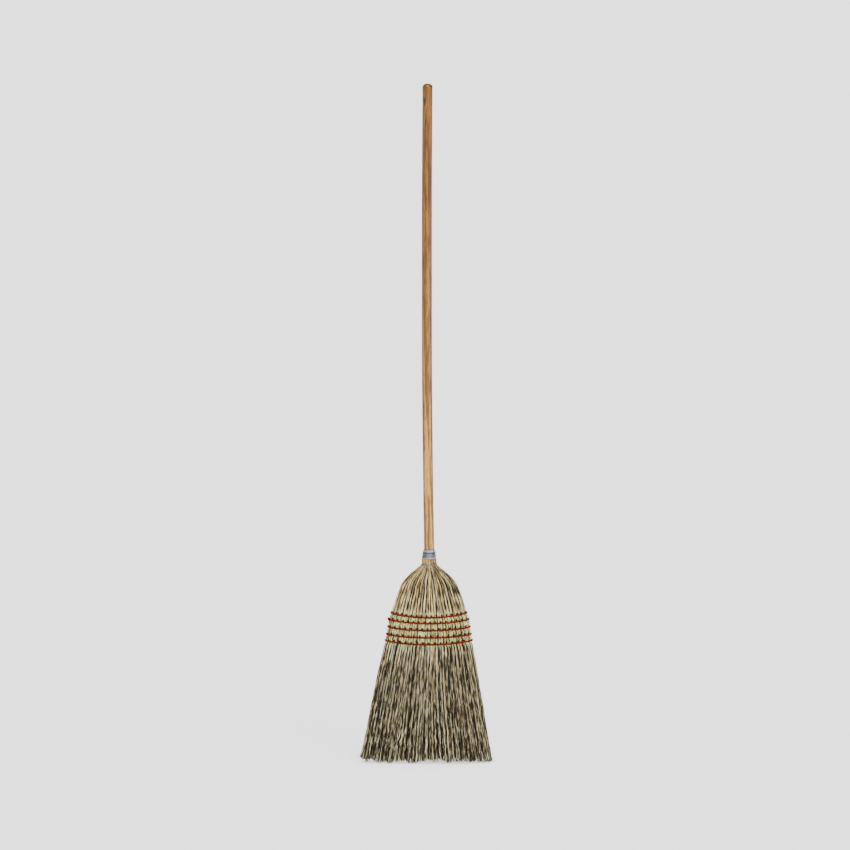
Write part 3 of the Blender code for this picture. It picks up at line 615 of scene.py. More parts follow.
def buildStraw(name, shade):
    material, add, shader = newMaterial(name)
    tone, hue, fall = (add("Attribute", attribute_name=label).outputs["Fac"]
                       for label in ("tone", "hue", "fall"))
    where = add("TexCoord").outputs["Object"]
    fibres, blotch = (
        add("TexNoise", {"Vector": add("VectorMath.MULTIPLY", where, strawColours[label]),
                         "Scale": 1.0, "Detail": 2.0}) for label in ("fibres", "blotches"))
    mixed = add("MULTIPLY_ADD", fibres, 0.40, tone)
    mixed = add("SUBTRACT", add("MULTIPLY_ADD", blotch, 0.80, mixed), 0.60)
    ramp = colour = fillRamp(add("ValToRGB", mixed), strawColours["stops"])
    for code, lasting, hues in strawColours["tints"]:
        # the tint keeps the tone's own lightness
        full = linear(code)
        level = (0.21 * full[0] + 0.72 * full[1] + 0.07 * full[2]) / lasting
        tinted = add("VectorMath.SCALE", tuple(part / level for part in full[:3]), add("RGBToBW", ramp))
        colour = add("Mix", add("MapRange", hue, *hues), colour, tinted, data_type="RGBA")
    spots = [1 - z / headShape["neckTop"] for z in twineRows["heights"]]
    pressed = twineRows["pressed"] / headShape["neckTop"]
    shades = list(strawColours["byHeight"])
    shades += [(spot + aside, strawColours["besideRows"])
               for spot in spots for aside in (-pressed, pressed)]
    shades += [((a + b) / 2, strawColours["betweenRows"]) for a, b in zip(spots, spots[1:])]
    for tint in (fillRamp(add("ValToRGB", fall), sorted(shades)), linear(shade)):
        colour = add("Mix", 1.0, colour, tint, data_type="RGBA", blend_type="MULTIPLY")
    setInputs(shader, {
        "Base Color": colour,
        "Roughness": add("MapRange", fibres, 0.0, 1.0, *strawColours["roughness"]),
        "Normal": add("Bump", {"Height": fibres, "Strength": 0.35, "Distance": 0.0002}),
        "Specular IOR Level": 0.35})
    return material


coverStraw = buildStraw("dryBroomcorn", "ffffff")
# the inner straw is the covers' straw darkened as painted shade
innerStraw = buildStraw("innerBroomcorn", "e6dcc8")


def addBakeMap(piece, columns, chunks=1):
    # one cell of the map for each strand, or for each length of a long strand
    mesh = piece.data
    corners = fetch(mesh.loops, "vertex_index", np.int32)
    starts = fetch(mesh.polygons, "loop_start", np.int32)
    sizes = fetch(mesh.polygons, "loop_total", np.int32)
    strand, along, around = (fetch(mesh.attributes[name].data, "value")[corners]
                             for name in ("strand", "along", "around"))
    face = np.repeat(np.arange(len(sizes)), sizes)
    highest = np.maximum.reduceat(around, starts)[face]
    lowest = np.minimum.reduceat(around, starts)[face]
    around = np.where((highest - lowest > 0.5) & (around < 0.25), 1.0, around)
    along = along * chunks
    chunk = np.clip(np.floor(np.minimum.reduceat(along, starts) + 1e-4), 0, chunks - 1)[face]
    cell = np.round(strand) * chunks + chunk
    rows = math.ceil((cell.max() + 1) / columns)
    u = (cell % columns + 0.08 + 0.84 * around) / columns
    v = (cell // columns + 0.04 + 0.92 * np.clip(along - chunk, 0, 1)) / rows
    layer = mesh.uv_layers.new(name="OFBake")
    layer.data.foreach_set("uv", np.stack((u, v), axis=-1).astype(np.float32).ravel())
    for name in ("strand", "along", "around"):
        mesh.attributes.remove(mesh.attributes[name])


def joinMeshes(name, pieces):
    # joins finished parts of one piece, the strands numbered on
    strands = 0
    for piece in pieces:
        items = piece.data.attributes["strand"].data
        numbers = fetch(items, "value")
        items.foreach_set("value", numbers + strands)
        strands += numbers.max() + 1
    with bpy.context.temp_override(active_object=pieces[0], selected_editable_objects=pieces):
        bpy.ops.object.join()
    pieces[0].name = name
    pieces[0].data.name = name
    return pieces[0]


def settle(piece, slot, *nodes):
    # the piece stands for its CAD nodes and moves with the broom
    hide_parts(*nodes)
    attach(piece, "root")


# front and rear covers: stalks, fill and packed straw in one piece, and the fibres beside it

strandTree, sewnPoints = buildStrandTree(coverStraw)


def growStrands(name, settings, sideStart, seed, points=sewnPoints):
    values = {"Side Start": sideStart, "Seed": seed, "Points": points, **settings}
    return grow(name, strawGuide, strandTree, values)


def growCover(name, node, sideStart, seed):
    parts = [growStrands(name + "Stalks", coverStalks, sideStart, seed),
             growStrands(name + "Fill", shoulderStraws, sideStart, seed + 200),
             buildPacked(name + "Packed", sideStart)]
    straw = joinMeshes(name + "Straw", parts)
    fibres = growStrands(name + "Fibres", coverFibres, sideStart, seed + 400, fibrePoints)
    for piece in (straw, fibres):
        addBakeMap(piece, 40)
        settle(piece, "broomcorn_straw", node)


# packed straw under the stalks: each cover is solid down to where its straws part; its near-black tone
# is painted shade in the depth of the straw

packedStraw = {"columns": 48, "rows": 40, "outerDepth": 0.0046, "innerDepth": 0.0066, "overlap": 0.010,
               "tone": 0.02, "hue": 0.2, "least": 0.0110,
               "room": ((0.40, 0.43), (1.0, 0.36))}  # heights, then the depth left at the neck


def buildPacked(name, sideStart):
    top = headShape["neckTop"]
    rows, columns = packedStraw["rows"], packedStraw["columns"]
    bottom = headShape["splitHeight"] - packedStraw["overlap"]
    heights = np.linspace(top, bottom, rows)[:, None]
    fine, run = evenAngles(4 * columns, guideGrid["evenHeight"])
    first = round(4 * columns * sideStart)
    angle = fine[first:first + 2 * columns + 1:2][None, :]
    room = np.interp(heights, *packedStraw["room"])
    shells = []
    for depth in (packedStraw["outerDepth"], packedStraw["innerDepth"]):
        a = np.maximum(sectionAt(heights + sagAt(heights), 1) - depth * room, packedStraw["least"])
        b = np.maximum(sectionAt(heights, 2) - depth * room, packedStraw["least"])
        x, y = superellipse(a, b, sectionAt(heights, 3), angle)
        z = heights + sagAt(heights) * (x / a) ** 2
        shells.append(np.stack((x + swayAt(heights), y, z), axis=-1))
    mesh = bmesh.new()
    grids = [[[mesh.verts.new(point) for point in line] for line in shell] for shell in shells]
    outer, inner = grids
    for i in range(rows - 1):
        for j in range(columns):
            mesh.faces.new((outer[i][j], outer[i + 1][j], outer[i + 1][j + 1], outer[i][j + 1]))
            mesh.faces.new((inner[i][j], inner[i][j + 1], inner[i + 1][j + 1], inner[i + 1][j]))
        for j in (0, columns):
            mesh.faces.new((outer[i][j], inner[i][j], inner[i + 1][j], outer[i + 1][j]))
    for i in (0, rows - 1):
        for j in range(columns):
            mesh.faces.new((outer[i][j], outer[i][j + 1], inner[i][j + 1], inner[i][j]))
    bmesh.ops.recalc_face_normals(mesh, faces=mesh.faces)
    data = bpy.data.meshes.new(name)
    mesh.to_mesh(data)
    mesh.free()
    data.shade_smooth()
    data.materials.append(coverStraw)
    count = 2 * rows * (columns + 1)
    share = np.tile(np.linspace(0, 1, columns + 1), 2 * rows)
    drop = np.tile(np.repeat(np.linspace(0, 1, rows), columns + 1), 2)
    wall = np.repeat((0.0, 1.0), count // 2)
    fall = 1 - heights.ravel()[np.round(drop * (rows - 1)).astype(int)] / top
    values = {"tone": packedStraw["tone"], "hue": packedStraw["hue"], "fall": fall, "strand": wall,
              "along": drop, "around": share * 0.45}
    for label, value in values.items():
        addLayer(data, label, np.broadcast_to(value, count))
    return addObject(name, data)


growCover("frontCover", "front_cover", 0.5, 11)
growCover("rearCover", "rear_cover", 0.0, 12)
print("covers done")


# inner bundles: straws that fill the head between the covers and reach the floor

bundleShape = {  # heights run from 0 at the top of the neck to 1 on the floor
    "startSpread": 0.03, "roundness": 2.5,
    "stickEnd": (0.20, 0.235),  # where the straws close in under the stick
    "bindingEnd": (0.145, 0.21), "freeRadius": 0.20,  # where they leave the binding
    "wave": (6.7, 30.0), "waveReach": (3.4, 3.4, 0.0), "waving": (0.40, 0.9),
    "toneSpread": 0.8, "tipTone": (0.35, -0.4),
}


def buildBundleTree(material):
    shape, top = bundleShape, headShape["neckTop"]
    tree, add, given, result = newTree("bundleStrands", {
        "Guide": None, "Count": 300, "Points": 34, "Sides": 3, "Across From": 0.0, "Across To": 0.6,
        "Wall": 0.0068, "Start": 0.12, "Least Radius": 0.0118, "Most Radius": 0.2, "Radius": 0.0010,
        "Tip Share": 0.85, "Wave": 0.0034, "Ragged": 0.014, "Tone": 0.26, "Seed": 1,
    })
    strands, strand, along, own = startStrands(add, given, 19.0)
    height = add("Mix", along, add("MULTIPLY_ADD", own[2], shape["startSpread"], given["Start"]), 1.0)
    across = add("MapRange", own[0], 0.0, 1.0, given["Across From"], given["Across To"])
    notch = raggedEdge["notches"] / 2
    notch = wearNotch(add, add("MULTIPLY_ADD", across, notch, notch))
    short = add("MULTIPLY", own[3], raggedEdge["own"] + raggedEdge["clump"])
    short = add("MULTIPLY_ADD", notch, raggedEdge["notch"], short)
    nearTip = add("POWER", along, raggedEdge["tip"])
    short = add("MULTIPLY", short, nearTip)
    short = add("MULTIPLY", short, add("MULTIPLY", given["Ragged"], 1 / top))
    height = add("SUBTRACT", height, short)

    # the guide's side and front give the head's half sizes at this height
    place = add("InputNamedAttribute", "place", data_type="FLOAT_VECTOR")
    surface = add("InputPosition")
    edges = []
    for spot in (0.0, 0.25, 0.5):
        spot = add("CombineXYZ", spot, height)
        edge = add("SampleUVSurface", given["Guide"], surface, place, spot, data_type="FLOAT_VECTOR")
        edges.append(add("SeparateXYZ", edge))
    right, back, left = edges
    centre = add("Mix", 0.5, left.outputs[0], right.outputs[0])
    halfWidth = add("SUBTRACT", add("SUBTRACT", right.outputs[0], centre), given["Wall"])
    halfDepth = add("SUBTRACT", back.outputs[1], given["Wall"])
    size = add("SUBTRACT", 1.0, add("POWER", add("ABSOLUTE", across), shape["roundness"]))
    size = add("POWER", size, 1 / shape["roundness"])
    through = add("MULTIPLY", add("MapRange", own[1], 0.0, 1.0, -1.0), size)
    x = add("MULTIPLY", across, halfWidth)
    y = add("MULTIPLY", through, halfDepth)

    # round the stick and its inner wire the straws keep their distance from the middle
    flat = add("CombineXYZ", x, y)
    radius = add("VectorMath.LENGTH", flat)
    least = add("MapRange", height, *shape["stickEnd"], given["Least Radius"], 0.0)
    most = add("MapRange", height, *shape["bindingEnd"], given["Most Radius"], shape["freeRadius"])
    kept = add("MINIMUM", add("MAXIMUM", radius, least), most)
    flat = add("VectorMath.SCALE", add("VectorMath.NORMALIZE", flat), kept)

    wave = waveStrand(add, strand, shape["wave"][0], height, shape["wave"][1], 1.0)
    wave = add("VectorMath.MULTIPLY", wave, shape["waveReach"])
    grown = add("MULTIPLY", add("MapRange", height, *shape["waving"]), given["Wave"])
    wave = add("VectorMath.SCALE", wave, grown)
    middle = add("CombineXYZ", centre, 0.0, add("MULTIPLY", add("SUBTRACT", 1.0, height), top))
    position = add("VectorMath.ADD", add("VectorMath.ADD", middle, flat), wave)
    position = add("VectorMath.MAXIMUM", position, strandShape["floor"])
    strands = add("SetPosition", {"Geometry": strands, "Position": position})

    stout = add("MULTIPLY_ADD", own[4], *strandShape["stout"])
    thin = add("Mix", along, 1.0, given["Tip Share"])
    thick = add("MULTIPLY", add("MULTIPLY", stout, thin), given["Radius"])
    # painted shade: the inner straw is darker than the covers, less so near its tips
    tone = add("MULTIPLY_ADD", own[5], shape["toneSpread"], given["Tone"])
    tone = add("ADD", tone, add("MULTIPLY_ADD", nearTip, *shape["tipTone"]))
    for name, value in (("tone", tone), ("fall", height), ("strand", strand), ("along", along),
                        ("hue", own[6])):
        strands = add("StoreNamedAttribute", strands, True, name, value)
    setInputs(result, {0: skinTubes(add, [strands], thick, given["Sides"], material)})
    return tree


bundleTree = buildBundleTree(innerStraw)

bundles = {
    "insidesStraw": {"node": "insides", "Count": 620, "Across From": -0.60, "Across To": 0.60,
                     "Start": 0.115, "Least Radius": 0.0116, "Most Radius": 0.0121, "Seed": 31},
    "leftShoulderStraw": {"node": "left_shoulder", "Count": 330, "Across From": -0.60,
                          "Across To": -0.97, "Start": 0.09, "Least Radius": 0.0152, "Seed": 41},
    "rightShoulderStraw": {"node": "right_shoulder", "Count": 330, "Across From": 0.60,
                           "Across To": 0.97, "Start": 0.09, "Least Radius": 0.0152, "Seed": 42},
}
for name, settings in bundles.items():
    bundle = grow(name, strawGuide, bundleTree, settings)
    addBakeMap(bundle, 24)
    settle(bundle, "inner_straw", settings["node"])
print("inner bundles done")


# handle: turned hardwood stick under clear lacquer

handleShape = {
    "base": 0.353, "top": 1.420, "radius": 0.01065, "dome": 0.0077, "chamfer": 0.0015,
    "sides": 48, "rings": 60, "domeRings": 10, "mapStrips": 8,
}
lacqueredWood = {
    "grains": ((0.0040, 0.16, 3.0), (0.0022, 0.04, 2.0), (0.0010, 0.009, 1.0)),  # width, length, detail
    "byHeight": (0.50, 1.20),  # heights from the fresh to the handled wood
    "pale": ("8a581e", "5e3806"), "rich": ("d8a658", "9c681a"),  # fresh, then handled
    "pore": "5a3a1c", "mark": "2c2018", "wireShade": "3a2814", "edge": "a86c34",
    "marks": (  # centre, reach and strength of each dark mark
        ((-0.0036, -0.0095, 1.384), (0.0019, 0.004, 0.0085), 0.95),
        ((-0.0012, -0.0100, 1.340), (0.0020, 0.004, 0.0070), 0.50),
        ((0.0085, -0.0050, 1.4150), (0.0024, 0.004, 0.0022), 0.95),
    ),
    "wireShadeFade": (0.4462, 0.4495),  # heights just above the wire where the painted shade fades out
}


def buildLacqueredWood():
    # clear-lacquered hardwood: long brown pores and streaks under a thin glossy coat, yellower
    # and paler where the hand never wore it, with a dark mark near the top; painted shade just above
    # the wire and towards the stick's outline
    look = lacqueredWood
    material, add, shader = newMaterial("lacqueredHardwood")
    where = add("TexCoord").outputs["Object"]
    height = add("SeparateXYZ", where).outputs[2]
    grains = []
    for width, length, detail in look["grains"]:
        spot = add("VectorMath.MULTIPLY", where, (1 / width, 1 / width, 1 / length))
        values = {"Vector": spot, "Scale": 1.0, "Detail": detail, "Distortion": 0.3}
        grains.append(add("TexNoise", values))
    streak = add("MULTIPLY_ADD", grains[0], 0.75, add("MULTIPLY", grains[1], 0.45))
    byHeight = add("MapRange", height, *look["byHeight"], interpolation_type="SMOOTHSTEP")
    pale, rich = (add("Mix", byHeight, *map(linear, look[label]), data_type="RGBA")
                  for label in ("pale", "rich"))
    colour = add("Mix", add("MapRange", streak, 0.53, 0.68), pale, rich, data_type="RGBA")
    spots = [(add("MapRange", grains[2], 0.54, 0.70, 0.0, 0.6), "pore")]
    for centre, reach, strength in look["marks"]:
        near = add("VectorMath.DIVIDE", add("VectorMath.SUBTRACT", where, centre), reach)
        ragged = add("MULTIPLY_ADD", grains[1], 1.2, add("VectorMath.LENGTH", near))
        spots.append((add("MapRange", ragged, 1.3, 1.9, strength, 0.0), "mark"))
    # painted shade on the wood just above the wire
    spots.append((add("MapRange", height, *look["wireShadeFade"], 0.6, 0.0), "wireShade"))
    for share, label in spots:
        colour = add("Mix", share, colour, linear(look[label]), data_type="RGBA")
    # painted shade towards the stick's outline, partly standing for the longer path through the lacquer
    # there
    rimShadeShare = add("MapRange", add("LayerWeight", {"Blend": 0.5}).outputs["Facing"], 0.12, 0.55, 0.0, 0.9)
    deep = add("Mix", 1.0, colour, linear(look["edge"]), data_type="RGBA", blend_type="MULTIPLY")
    setInputs(shader, {
        "Base Color": add("Mix", rimShadeShare, colour, deep, data_type="RGBA"),
        "Roughness": add("MapRange", grains[1], 0.0, 1.0, 0.30, 0.48),
        "Normal": add("Bump", {"Height": grains[2], "Strength": 0.15, "Distance": 0.0001}),
        "IOR": 1.5, "Specular IOR Level": 0.3, "Coat Weight": 0.10, "Coat Roughness": 0.35})
    return material


def buildHandle():
    shape = handleShape
    radius, sides = shape["radius"], shape["sides"]
    profile = [(0.0, shape["base"]), (radius - shape["chamfer"], shape["base"])]
    low, high = shape["base"] + shape["chamfer"], shape["top"] - shape["dome"]
    profile += [(radius, z) for z in np.linspace(low, high, shape["rings"])]
    for angle in np.linspace(0, math.pi / 2, shape["domeRings"])[1:]:
        profile.append((radius * math.cos(angle), high + shape["dome"] * math.sin(angle)))
    radii, heights = (np.array(column)[:, None] for column in zip(*profile))
    angle = np.linspace(0, 2 * math.pi, sides + 1)[None, :-1]
    points = np.stack((radii * np.cos(angle) + swayAt(heights), radii * np.sin(angle),
                       heights + 0 * angle), axis=-1).reshape(-1, 3)
    faces = []
    for i in range(len(profile) - 1):
        for j in range(sides):
            k = (j + 1) % sides
            faces.append((i * sides + j, i * sides + k, (i + 1) * sides + k, (i + 1) * sides + j))
    data = bpy.data.meshes.new("lacqueredHandle")
    data.from_pydata(points.tolist(), [], faces)
    run = np.concatenate(([0], np.cumsum(np.hypot(np.diff(radii.ravel()), np.diff(heights.ravel())))))
    values = {"strand": np.zeros(len(points)), "along": np.repeat(run / run[-1], sides),
              "around": np.tile(np.arange(sides) / sides, len(profile))}
    for label, value in values.items():
        addLayer(data, label, value)
    piece = addObject("lacqueredHandle", data)
    addBakeMap(piece, shape["mapStrips"], shape["mapStrips"])
    mesh = bmesh.new()
    mesh.from_mesh(data)
    bmesh.ops.remove_doubles(mesh, verts=mesh.verts, dist=1e-6)
    bmesh.ops.dissolve_degenerate(mesh, edges=mesh.edges, dist=1e-6)
    bmesh.ops.recalc_face_normals(mesh, faces=mesh.faces)
    mesh.to_mesh(data)
    mesh.free()
    data.shade_smooth()
    data.materials.append(buildLacqueredWood())
    return piece


settle(buildHandle(), "lacquered_wood", "handle")
print("handle done")


# galvanised wire: two turns at the throat, one climb at the back, and the neck winding

wireShape = {
    "Radius": 0.00088, "Sides": 10, "solidRadius": 0.00075, "pitch": 0.00195, "throatTurns": 2,
    "climb": 0.125, "neckTurns": 8.875, "turnPoints": 60, "throatStart": 0.41390, "neckStart": 0.42870,
    "endGap": 0.0011, "lift": 0.0003, "step": 0.0002,  # above what is under it, and to the bare stick
    "hook": (0.0026, 0.0017, 0.0009, 0.0003),  # how far its first points turn in
}
galvanisedZinc = {
    "patch": (0.012, 0.012, 0.0011),  # zinc patches lie along the turns
    "stops": ((0.55, "3c4049"), (1.0, "d6dcec")),
    "neck": (0.4130, 0.4470),  # lowest and highest wire
    "turns": (  # place up the neck, then how bright the zinc is there
        (0.0, 0.19), (0.40, 0.19), (0.44, 0.32), (0.50, 0.36), (0.53, 0.26), (0.61, 0.23),
        (0.765, 0.24), (0.793, 0.02), (0.827, 0.04), (0.855, 0.45), (0.933, 0.49), (1.0, 0.24)),
}


def buildGalvanised():
    # hot-dip galvanised steel: dull blue-grey zinc with a soft shine and darker spots
    material, add, shader = newMaterial("galvanisedSteel")
    where = add("TexCoord").outputs["Object"]
    stretched = add("VectorMath.DIVIDE", where, galvanisedZinc["patch"])
    spangle = add("TexNoise", {"Vector": stretched, "Scale": 1.0, "Detail": 2.0})
    turn = add("MapRange", add("SeparateXYZ", where).outputs[2], *galvanisedZinc["neck"])
    zincLevel = shapeCurve(add("FloatCurve", 1.0, turn), galvanisedZinc["turns"])
    shine = add("MULTIPLY_ADD", spangle, 0.9, zincLevel)
    setInputs(shader, {
        "Base Color": fillRamp(add("ValToRGB", shine), galvanisedZinc["stops"]),
        "Roughness": add("MapRange", spangle, 0.0, 1.0, 0.30, 0.55), "Metallic": 1.0})
    return material


galvanised = buildGalvanised()


def buildTubeTree(name, material):
    # a tube along a path, marked along and around for its map
    tree, add, given, result = newTree(name, {"Path": None, "Radius": 0.001, "Sides": 8})
    path = add("MeshToCurve", given["Path"])
    along = add("SplineParameter")
    strand = add("CurveOfPoint")
    for label, value in (("along", along), ("strand", strand)):
        path = add("StoreNamedAttribute", path, True, label, value)
    setInputs(result, {0: skinTubes(add, [path], given["Radius"], given["Sides"], material)})
    return tree


def pathMesh(name, lines):
    # open lines of points, one after another, as a mesh of edges
    mesh = bpy.data.meshes.new(name)
    points, edges = [], []
    for line in lines:
        first = len(points)
        points += [tuple(point) for point in line]
        edges += [(k, k + 1) for k in range(first, len(points) - 1)]
    mesh.from_pydata(points, edges, [])
    return mesh


def wirePath():
    shape = wireShape
    steps = shape["turnPoints"]
    total = shape["throatTurns"] + shape["climb"] + shape["neckTurns"]
    turns = np.arange(round(total * steps)) / steps
    climbEnd = shape["throatTurns"] + shape["climb"]
    throatTop = shape["throatStart"] + shape["pitch"] * shape["throatTurns"]
    neckEnd = shape["neckStart"] + shape["pitch"] * shape["neckTurns"]
    z = np.interp(turns, (0, shape["throatTurns"], climbEnd, total),
                  (shape["throatStart"], throatTop, shape["neckStart"], neckEnd))
    heights, radii = zip(*headShape["neck"])
    heights = (*heights, heights[-1] + shape["step"])
    radii = (*radii, handleShape["radius"])
    under = np.maximum.reduce([np.interp(z + d, heights, radii)
                               for d in np.linspace(-1, 1, 5) * shape["solidRadius"]])
    radius = np.convolve(np.pad(under, 4, mode="edge"), np.ones(9) / 9, mode="valid")
    radius += shape["lift"] + shape["solidRadius"]
    angle = math.pi / 2 + 2 * math.pi * turns
    line = list(np.stack((radius * np.cos(angle), radius * np.sin(angle), z), axis=-1))
    hook = [(-0.0002 * k, radius[0] - depth, z[0]) for k, depth in enumerate(shape["hook"])]
    line = hook + line[2:-6]
    line.append((shape["endGap"], radius[-1], neckEnd))
    return [(x + float(swayAt(h)), y, h) for x, y, h in line]


wireTree = buildTubeTree("woundWire", galvanised)
bindingWire = grow("galvanisedBinding", pathMesh("wirePath", [wirePath()]), wireTree, wireShape)
addBakeMap(bindingWire, 8, 8)
settle(bindingWire, "galvanised_wire", "binding_wire")

for node in ("inner_winding", "wire_tack"):
    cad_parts[node].data.materials.clear()
    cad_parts[node].data.materials.append(galvanised)
print("wire done")


# red twine: three-ply twisted cord, five rows round the head with a stitch at each dimple

twineShape = {
    "Step": 0.00095, "Lay": 0.0095, "Ply Radius": 0.00122, "Ply Offset": 0.00080, "Sides": 6,
    "radius": 0.00155, "standOff": 0.0006, "pull": 0.0005, "wander": 0.00035,
    "pullWidth": 0.0022, "pullRise": 0.0004, "rowPoints": 480, "knotPoints": 14, "knotLift": 0.7,
    "knots": {  # row: place round it from the left side by the front, turns, coil radius, length
        0: ((0.433, 1.25, 0.0008, 0.006),),
        1: ((0.012, 2.25, 0.0017, 0.008),),
    },
    "dye": ((0.38, "4c0003"), (0.72, "8c0008")), "fuzzAndFade": (1800.0, 60.0),
    "looseEnd": {"row": 4, "from": (0.0752, 0.2545), "to": (0.0742, 0.2462), "rise": 0.0012},
}


def buildTwineCloth():
    # twisted dyed yarn: deep red with darker valleys between its plies and a fine fibre fuzz
    material, add, shader = newMaterial("dyedTwine")
    where = add("TexCoord").outputs["Object"]
    fuzz, fade = (add("TexNoise", {"Vector": where, "Scale": scale, "Detail": 2.0})
                  for scale in twineShape["fuzzAndFade"])
    mixed = add("MULTIPLY_ADD", fuzz, 0.5, add("MULTIPLY", fade, 0.6))
    setInputs(shader, {
        "Base Color": fillRamp(add("ValToRGB", mixed), twineShape["dye"]),
        "Normal": add("Bump", {"Height": fuzz, "Strength": 0.4, "Distance": 0.0001}),
        "Roughness": 0.75, "Specular IOR Level": 0.2, "Sheen Weight": 0.04, "Sheen Roughness": 0.4})
    return material


def buildTwineTree(material):
    # three plies wound round each line of the path, and marked for the map
    tree, add, given, result = newTree("twistedTwine", {
        "Path": None, "Step": 0.001, "Lay": 0.0085, "Ply Radius": 0.0008, "Ply Offset": 0.0006,
        "Sides": 6})
    path = add("MeshToCurve", given["Path"])
    path = add("ResampleCurve", {"Curve": path, "Length": given["Step"]}, mode="LENGTH")
    place = add("SplineParameter")
    whole = add("SplineLength")
    normal = add("InputNormal")
    tangent = add("InputTangent")
    strand = add("CurveOfPoint")
    turn = add("MULTIPLY", add("ROUND", add("DIVIDE", whole, given["Lay"])), place)
    yarns = []
    for ply in range(3):
        angle = add("MULTIPLY", add("ADD", turn, ply / 3), 2 * math.pi)
        spoke = add("VectorRotate", normal, (0, 0, 0), tangent, angle)
        spoke = add("VectorMath.SCALE", spoke, given["Ply Offset"])
        number = add("MULTIPLY_ADD", strand, 3.0, float(ply))
        yarn = path
        for label, value in (("along", place), ("strand", number)):
            yarn = add("StoreNamedAttribute", yarn, True, label, value)
        yarns.append(add("SetPosition", {"Geometry": yarn, "Offset": spoke}))
    setInputs(result, {0: skinTubes(add, yarns, given["Ply Radius"], given["Sides"], material)})
    return tree


twineTree = buildTwineTree(buildTwineCloth())


def rowPath(row):
    # once round the head in the groove, from the middle of the back; it dips at every stitch
    shape = twineShape
    z = twineRows["heights"][row]
    count = shape["rowPoints"]
    fine, run = evenAngles(count, guideGrid["evenHeight"])
    sag = twineRows["sags"][row]
    a = sectionAt(np.array(z + sag), 1) - twineRows["grooveDepth"]
    b = sectionAt(np.array(z), 2) - twineRows["grooveDepth"]
    stitches = round(run / twineRows["stitchSpacing"])
    arc = np.linspace(0, 1, count + 1)
    phase = (arc * stitches + twineRows["stitchShift"] * row) % 1 - 0.5
    pulled = np.exp(-(phase * twineRows["stitchSpacing"] / shape["pullWidth"]) ** 2)
    stand = shape["radius"] + shape["standOff"] - shape["pull"] * pulled
    x, y = superellipse(a + stand, b + stand, sectionAt(np.array(z), 3), fine)
    level = z + sag * (x / (a + stand)) ** 2
    level += shape["wander"] * np.sin(2 * math.pi * (phase + 0.25 * row)) + shape["pullRise"] * pulled
    points = np.stack((x + swayAt(level), y, level), axis=-1)
    half = count // 4
    return np.roll(points[:-1], -half - 1, axis=0)


def knotPath(path, place, turns, coil, length):
    # twine wound round its own row, standing a little proud of the straw
    count = len(path)
    first = (0.25 + place) % 1 * count
    steps = np.linspace(0, 1, round(turns * twineShape["knotPoints"]) + 2)
    run = np.linalg.norm(path[1] - path[0]) * count
    spots = first + (steps - 0.5) * length / run * count
    columns = [np.interp(spots % count, np.arange(count + 1), np.append(path[:, k], path[0, k]))
               for k in range(3)]
    middle = np.stack(columns, axis=-1)
    along = np.gradient(middle, axis=0)
    along /= np.linalg.norm(along, axis=1)[:, None]
    outward = np.cross(along, (0, 0, 1))
    outward *= np.sign((outward * (middle - path.mean(axis=0))).sum(axis=1))[:, None]
    upward = np.cross(outward, along)
    angle = 2 * math.pi * turns * steps[:, None]
    lifted = outward * (np.cos(angle) + twineShape["knotLift"])
    return middle + coil * (lifted + upward * np.sin(angle))


def loosePath(row, shape):
    # a short end of twine that hangs below its row
    (x0, z0), (x1, z1) = shape["from"], shape["to"]
    line = []
    for t in np.linspace(0, 1, 7):
        x, z = x0 + (x1 - x0) * t, z0 + (z1 - z0) * t
        a, b = sectionAt(np.array(z), 1), sectionAt(np.array(z), 2)
        power = sectionAt(np.array(z), 3)
        across = min(abs(x - float(swayAt(z))) / float(a), 0.999)
        y = -float(b) * (1 - across ** float(power)) ** (1 / float(power))
        line.append((x, y - shape["rise"], z))
    return line


for row in range(5):
    path = rowPath(row)
    lines = [path] + [knotPath(path, *knot) for knot in twineShape["knots"].get(row, ())]
    if row == twineShape["looseEnd"]["row"]:
        lines.append(loosePath(row, twineShape["looseEnd"]))
    twine = grow("redTwineRow%d" % (row + 1), pathMesh("rowPath", lines), twineTree, twineShape)
    addBakeMap(twine, 12, 12)
    settle(twine, "red_twine", "stitch_row_%d" % (row + 1))
print("twine done")


# camera, light and floor

view = {
    "target": (-0.0031, 0.0, 0.7073), "elevation": 8.0, "distance": 30.0,
    "frameWidth": 1.7620, "sensor": 36.0, "farEnd": 500.0,
}

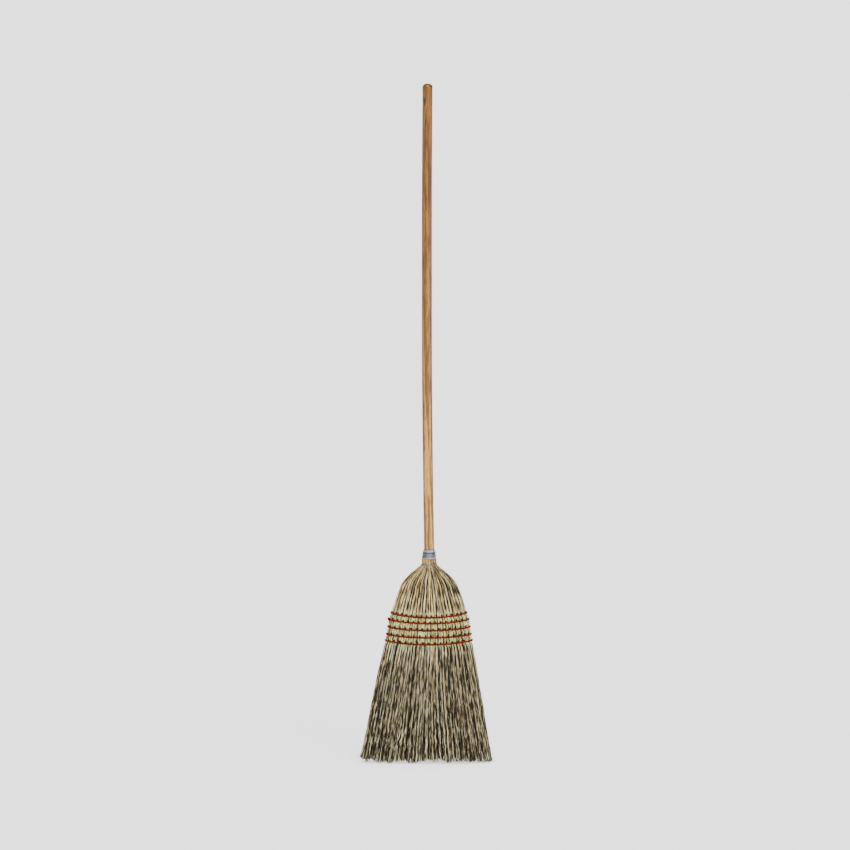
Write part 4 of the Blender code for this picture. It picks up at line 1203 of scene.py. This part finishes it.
camera = bpy.data.cameras.new("photoCamera")
camera.sensor_width = view["sensor"]
camera.lens = view["sensor"] * view["distance"] / view["frameWidth"]
camera.clip_end = view["farEnd"]
cameraObject = addObject("photoCamera", camera)
rise = math.radians(view["elevation"])
offset = Vector((0.0, -math.cos(rise), math.sin(rise))) * view["distance"]
cameraObject.location = Vector(view["target"]) + offset
cameraObject.rotation_euler = (-offset).to_track_quat("-Z", "Y").to_euler()
bpy.context.scene.camera = cameraObject

lamps = {  # far softboxes: direction they come from, angular size in degrees, strength
    "overhead": {"from": (0.05, -0.10, 1.0), "size": 50.0, "power": 4.4},
    "key": {"from": (0.47, -0.88, 0.36), "size": 30.0, "power": 1.6},
}
for name, lamp in lamps.items():
    light = bpy.data.lights.new(name + "Softbox", "SUN")
    light.angle = math.radians(lamp["size"])
    light.energy = lamp["power"]
    turned = Vector(lamp["from"]).to_track_quat("Z", "Y").to_euler()
    addObject(name + "Softbox", light).rotation_euler = turned

studio = {"worldLight": 0.12, "floorReach": 60.0, "wallRadius": 42.0, "wallHeight": 25.0,
          "wallSides": 96}
white = (1.0, 1.0, 1.0, 1.0)

world = bpy.data.worlds.new("paleStudio")
world.use_nodes = True
setInputs(world.node_tree.nodes["Background"], {"Color": white, "Strength": studio["worldLight"]})
bpy.context.scene.world = world


def buildStage(name, points, faces, paint, values):
    mesh = bpy.data.meshes.new(name)
    mesh.from_pydata(points, [], faces)
    material, _, shader = newMaterial(paint)
    setInputs(shader, {"Emission Color": white, **values})
    mesh.materials.append(material)
    return addObject(name, mesh)


reach = studio["floorReach"]
floor = buildStage(
    "studioFloor", [(-reach, -reach, 0), (reach, -reach, 0), (reach, reach, 0), (-reach, reach, 0)],
    [(0, 1, 2, 3)], "mattWhitePaint",
    {"Base Color": linear("f4f4f4"), "Roughness": 0.9, "Emission Strength": 1.0})

# a round pale backdrop stands behind the low views; only the camera sees it, so it adds no light
count = studio["wallSides"]
wall = buildStage(
    "studioBackdrop", [(studio["wallRadius"] * math.cos(2 * math.pi * k / count),
                        studio["wallRadius"] * math.sin(2 * math.pi * k / count), z)
                       for z in (0.0, studio["wallHeight"]) for k in range(count)],
    [(k, k + count, (k + 1) % count + count, (k + 1) % count) for k in range(count)], "backdropPaint",
    {"Base Color": (0.0, 0.0, 0.0, 1.0), "Specular IOR Level": 0.0, "Emission Strength": 2.52})
wall.visible_diffuse = wall.visible_glossy = wall.visible_transmission = wall.visible_shadow = False
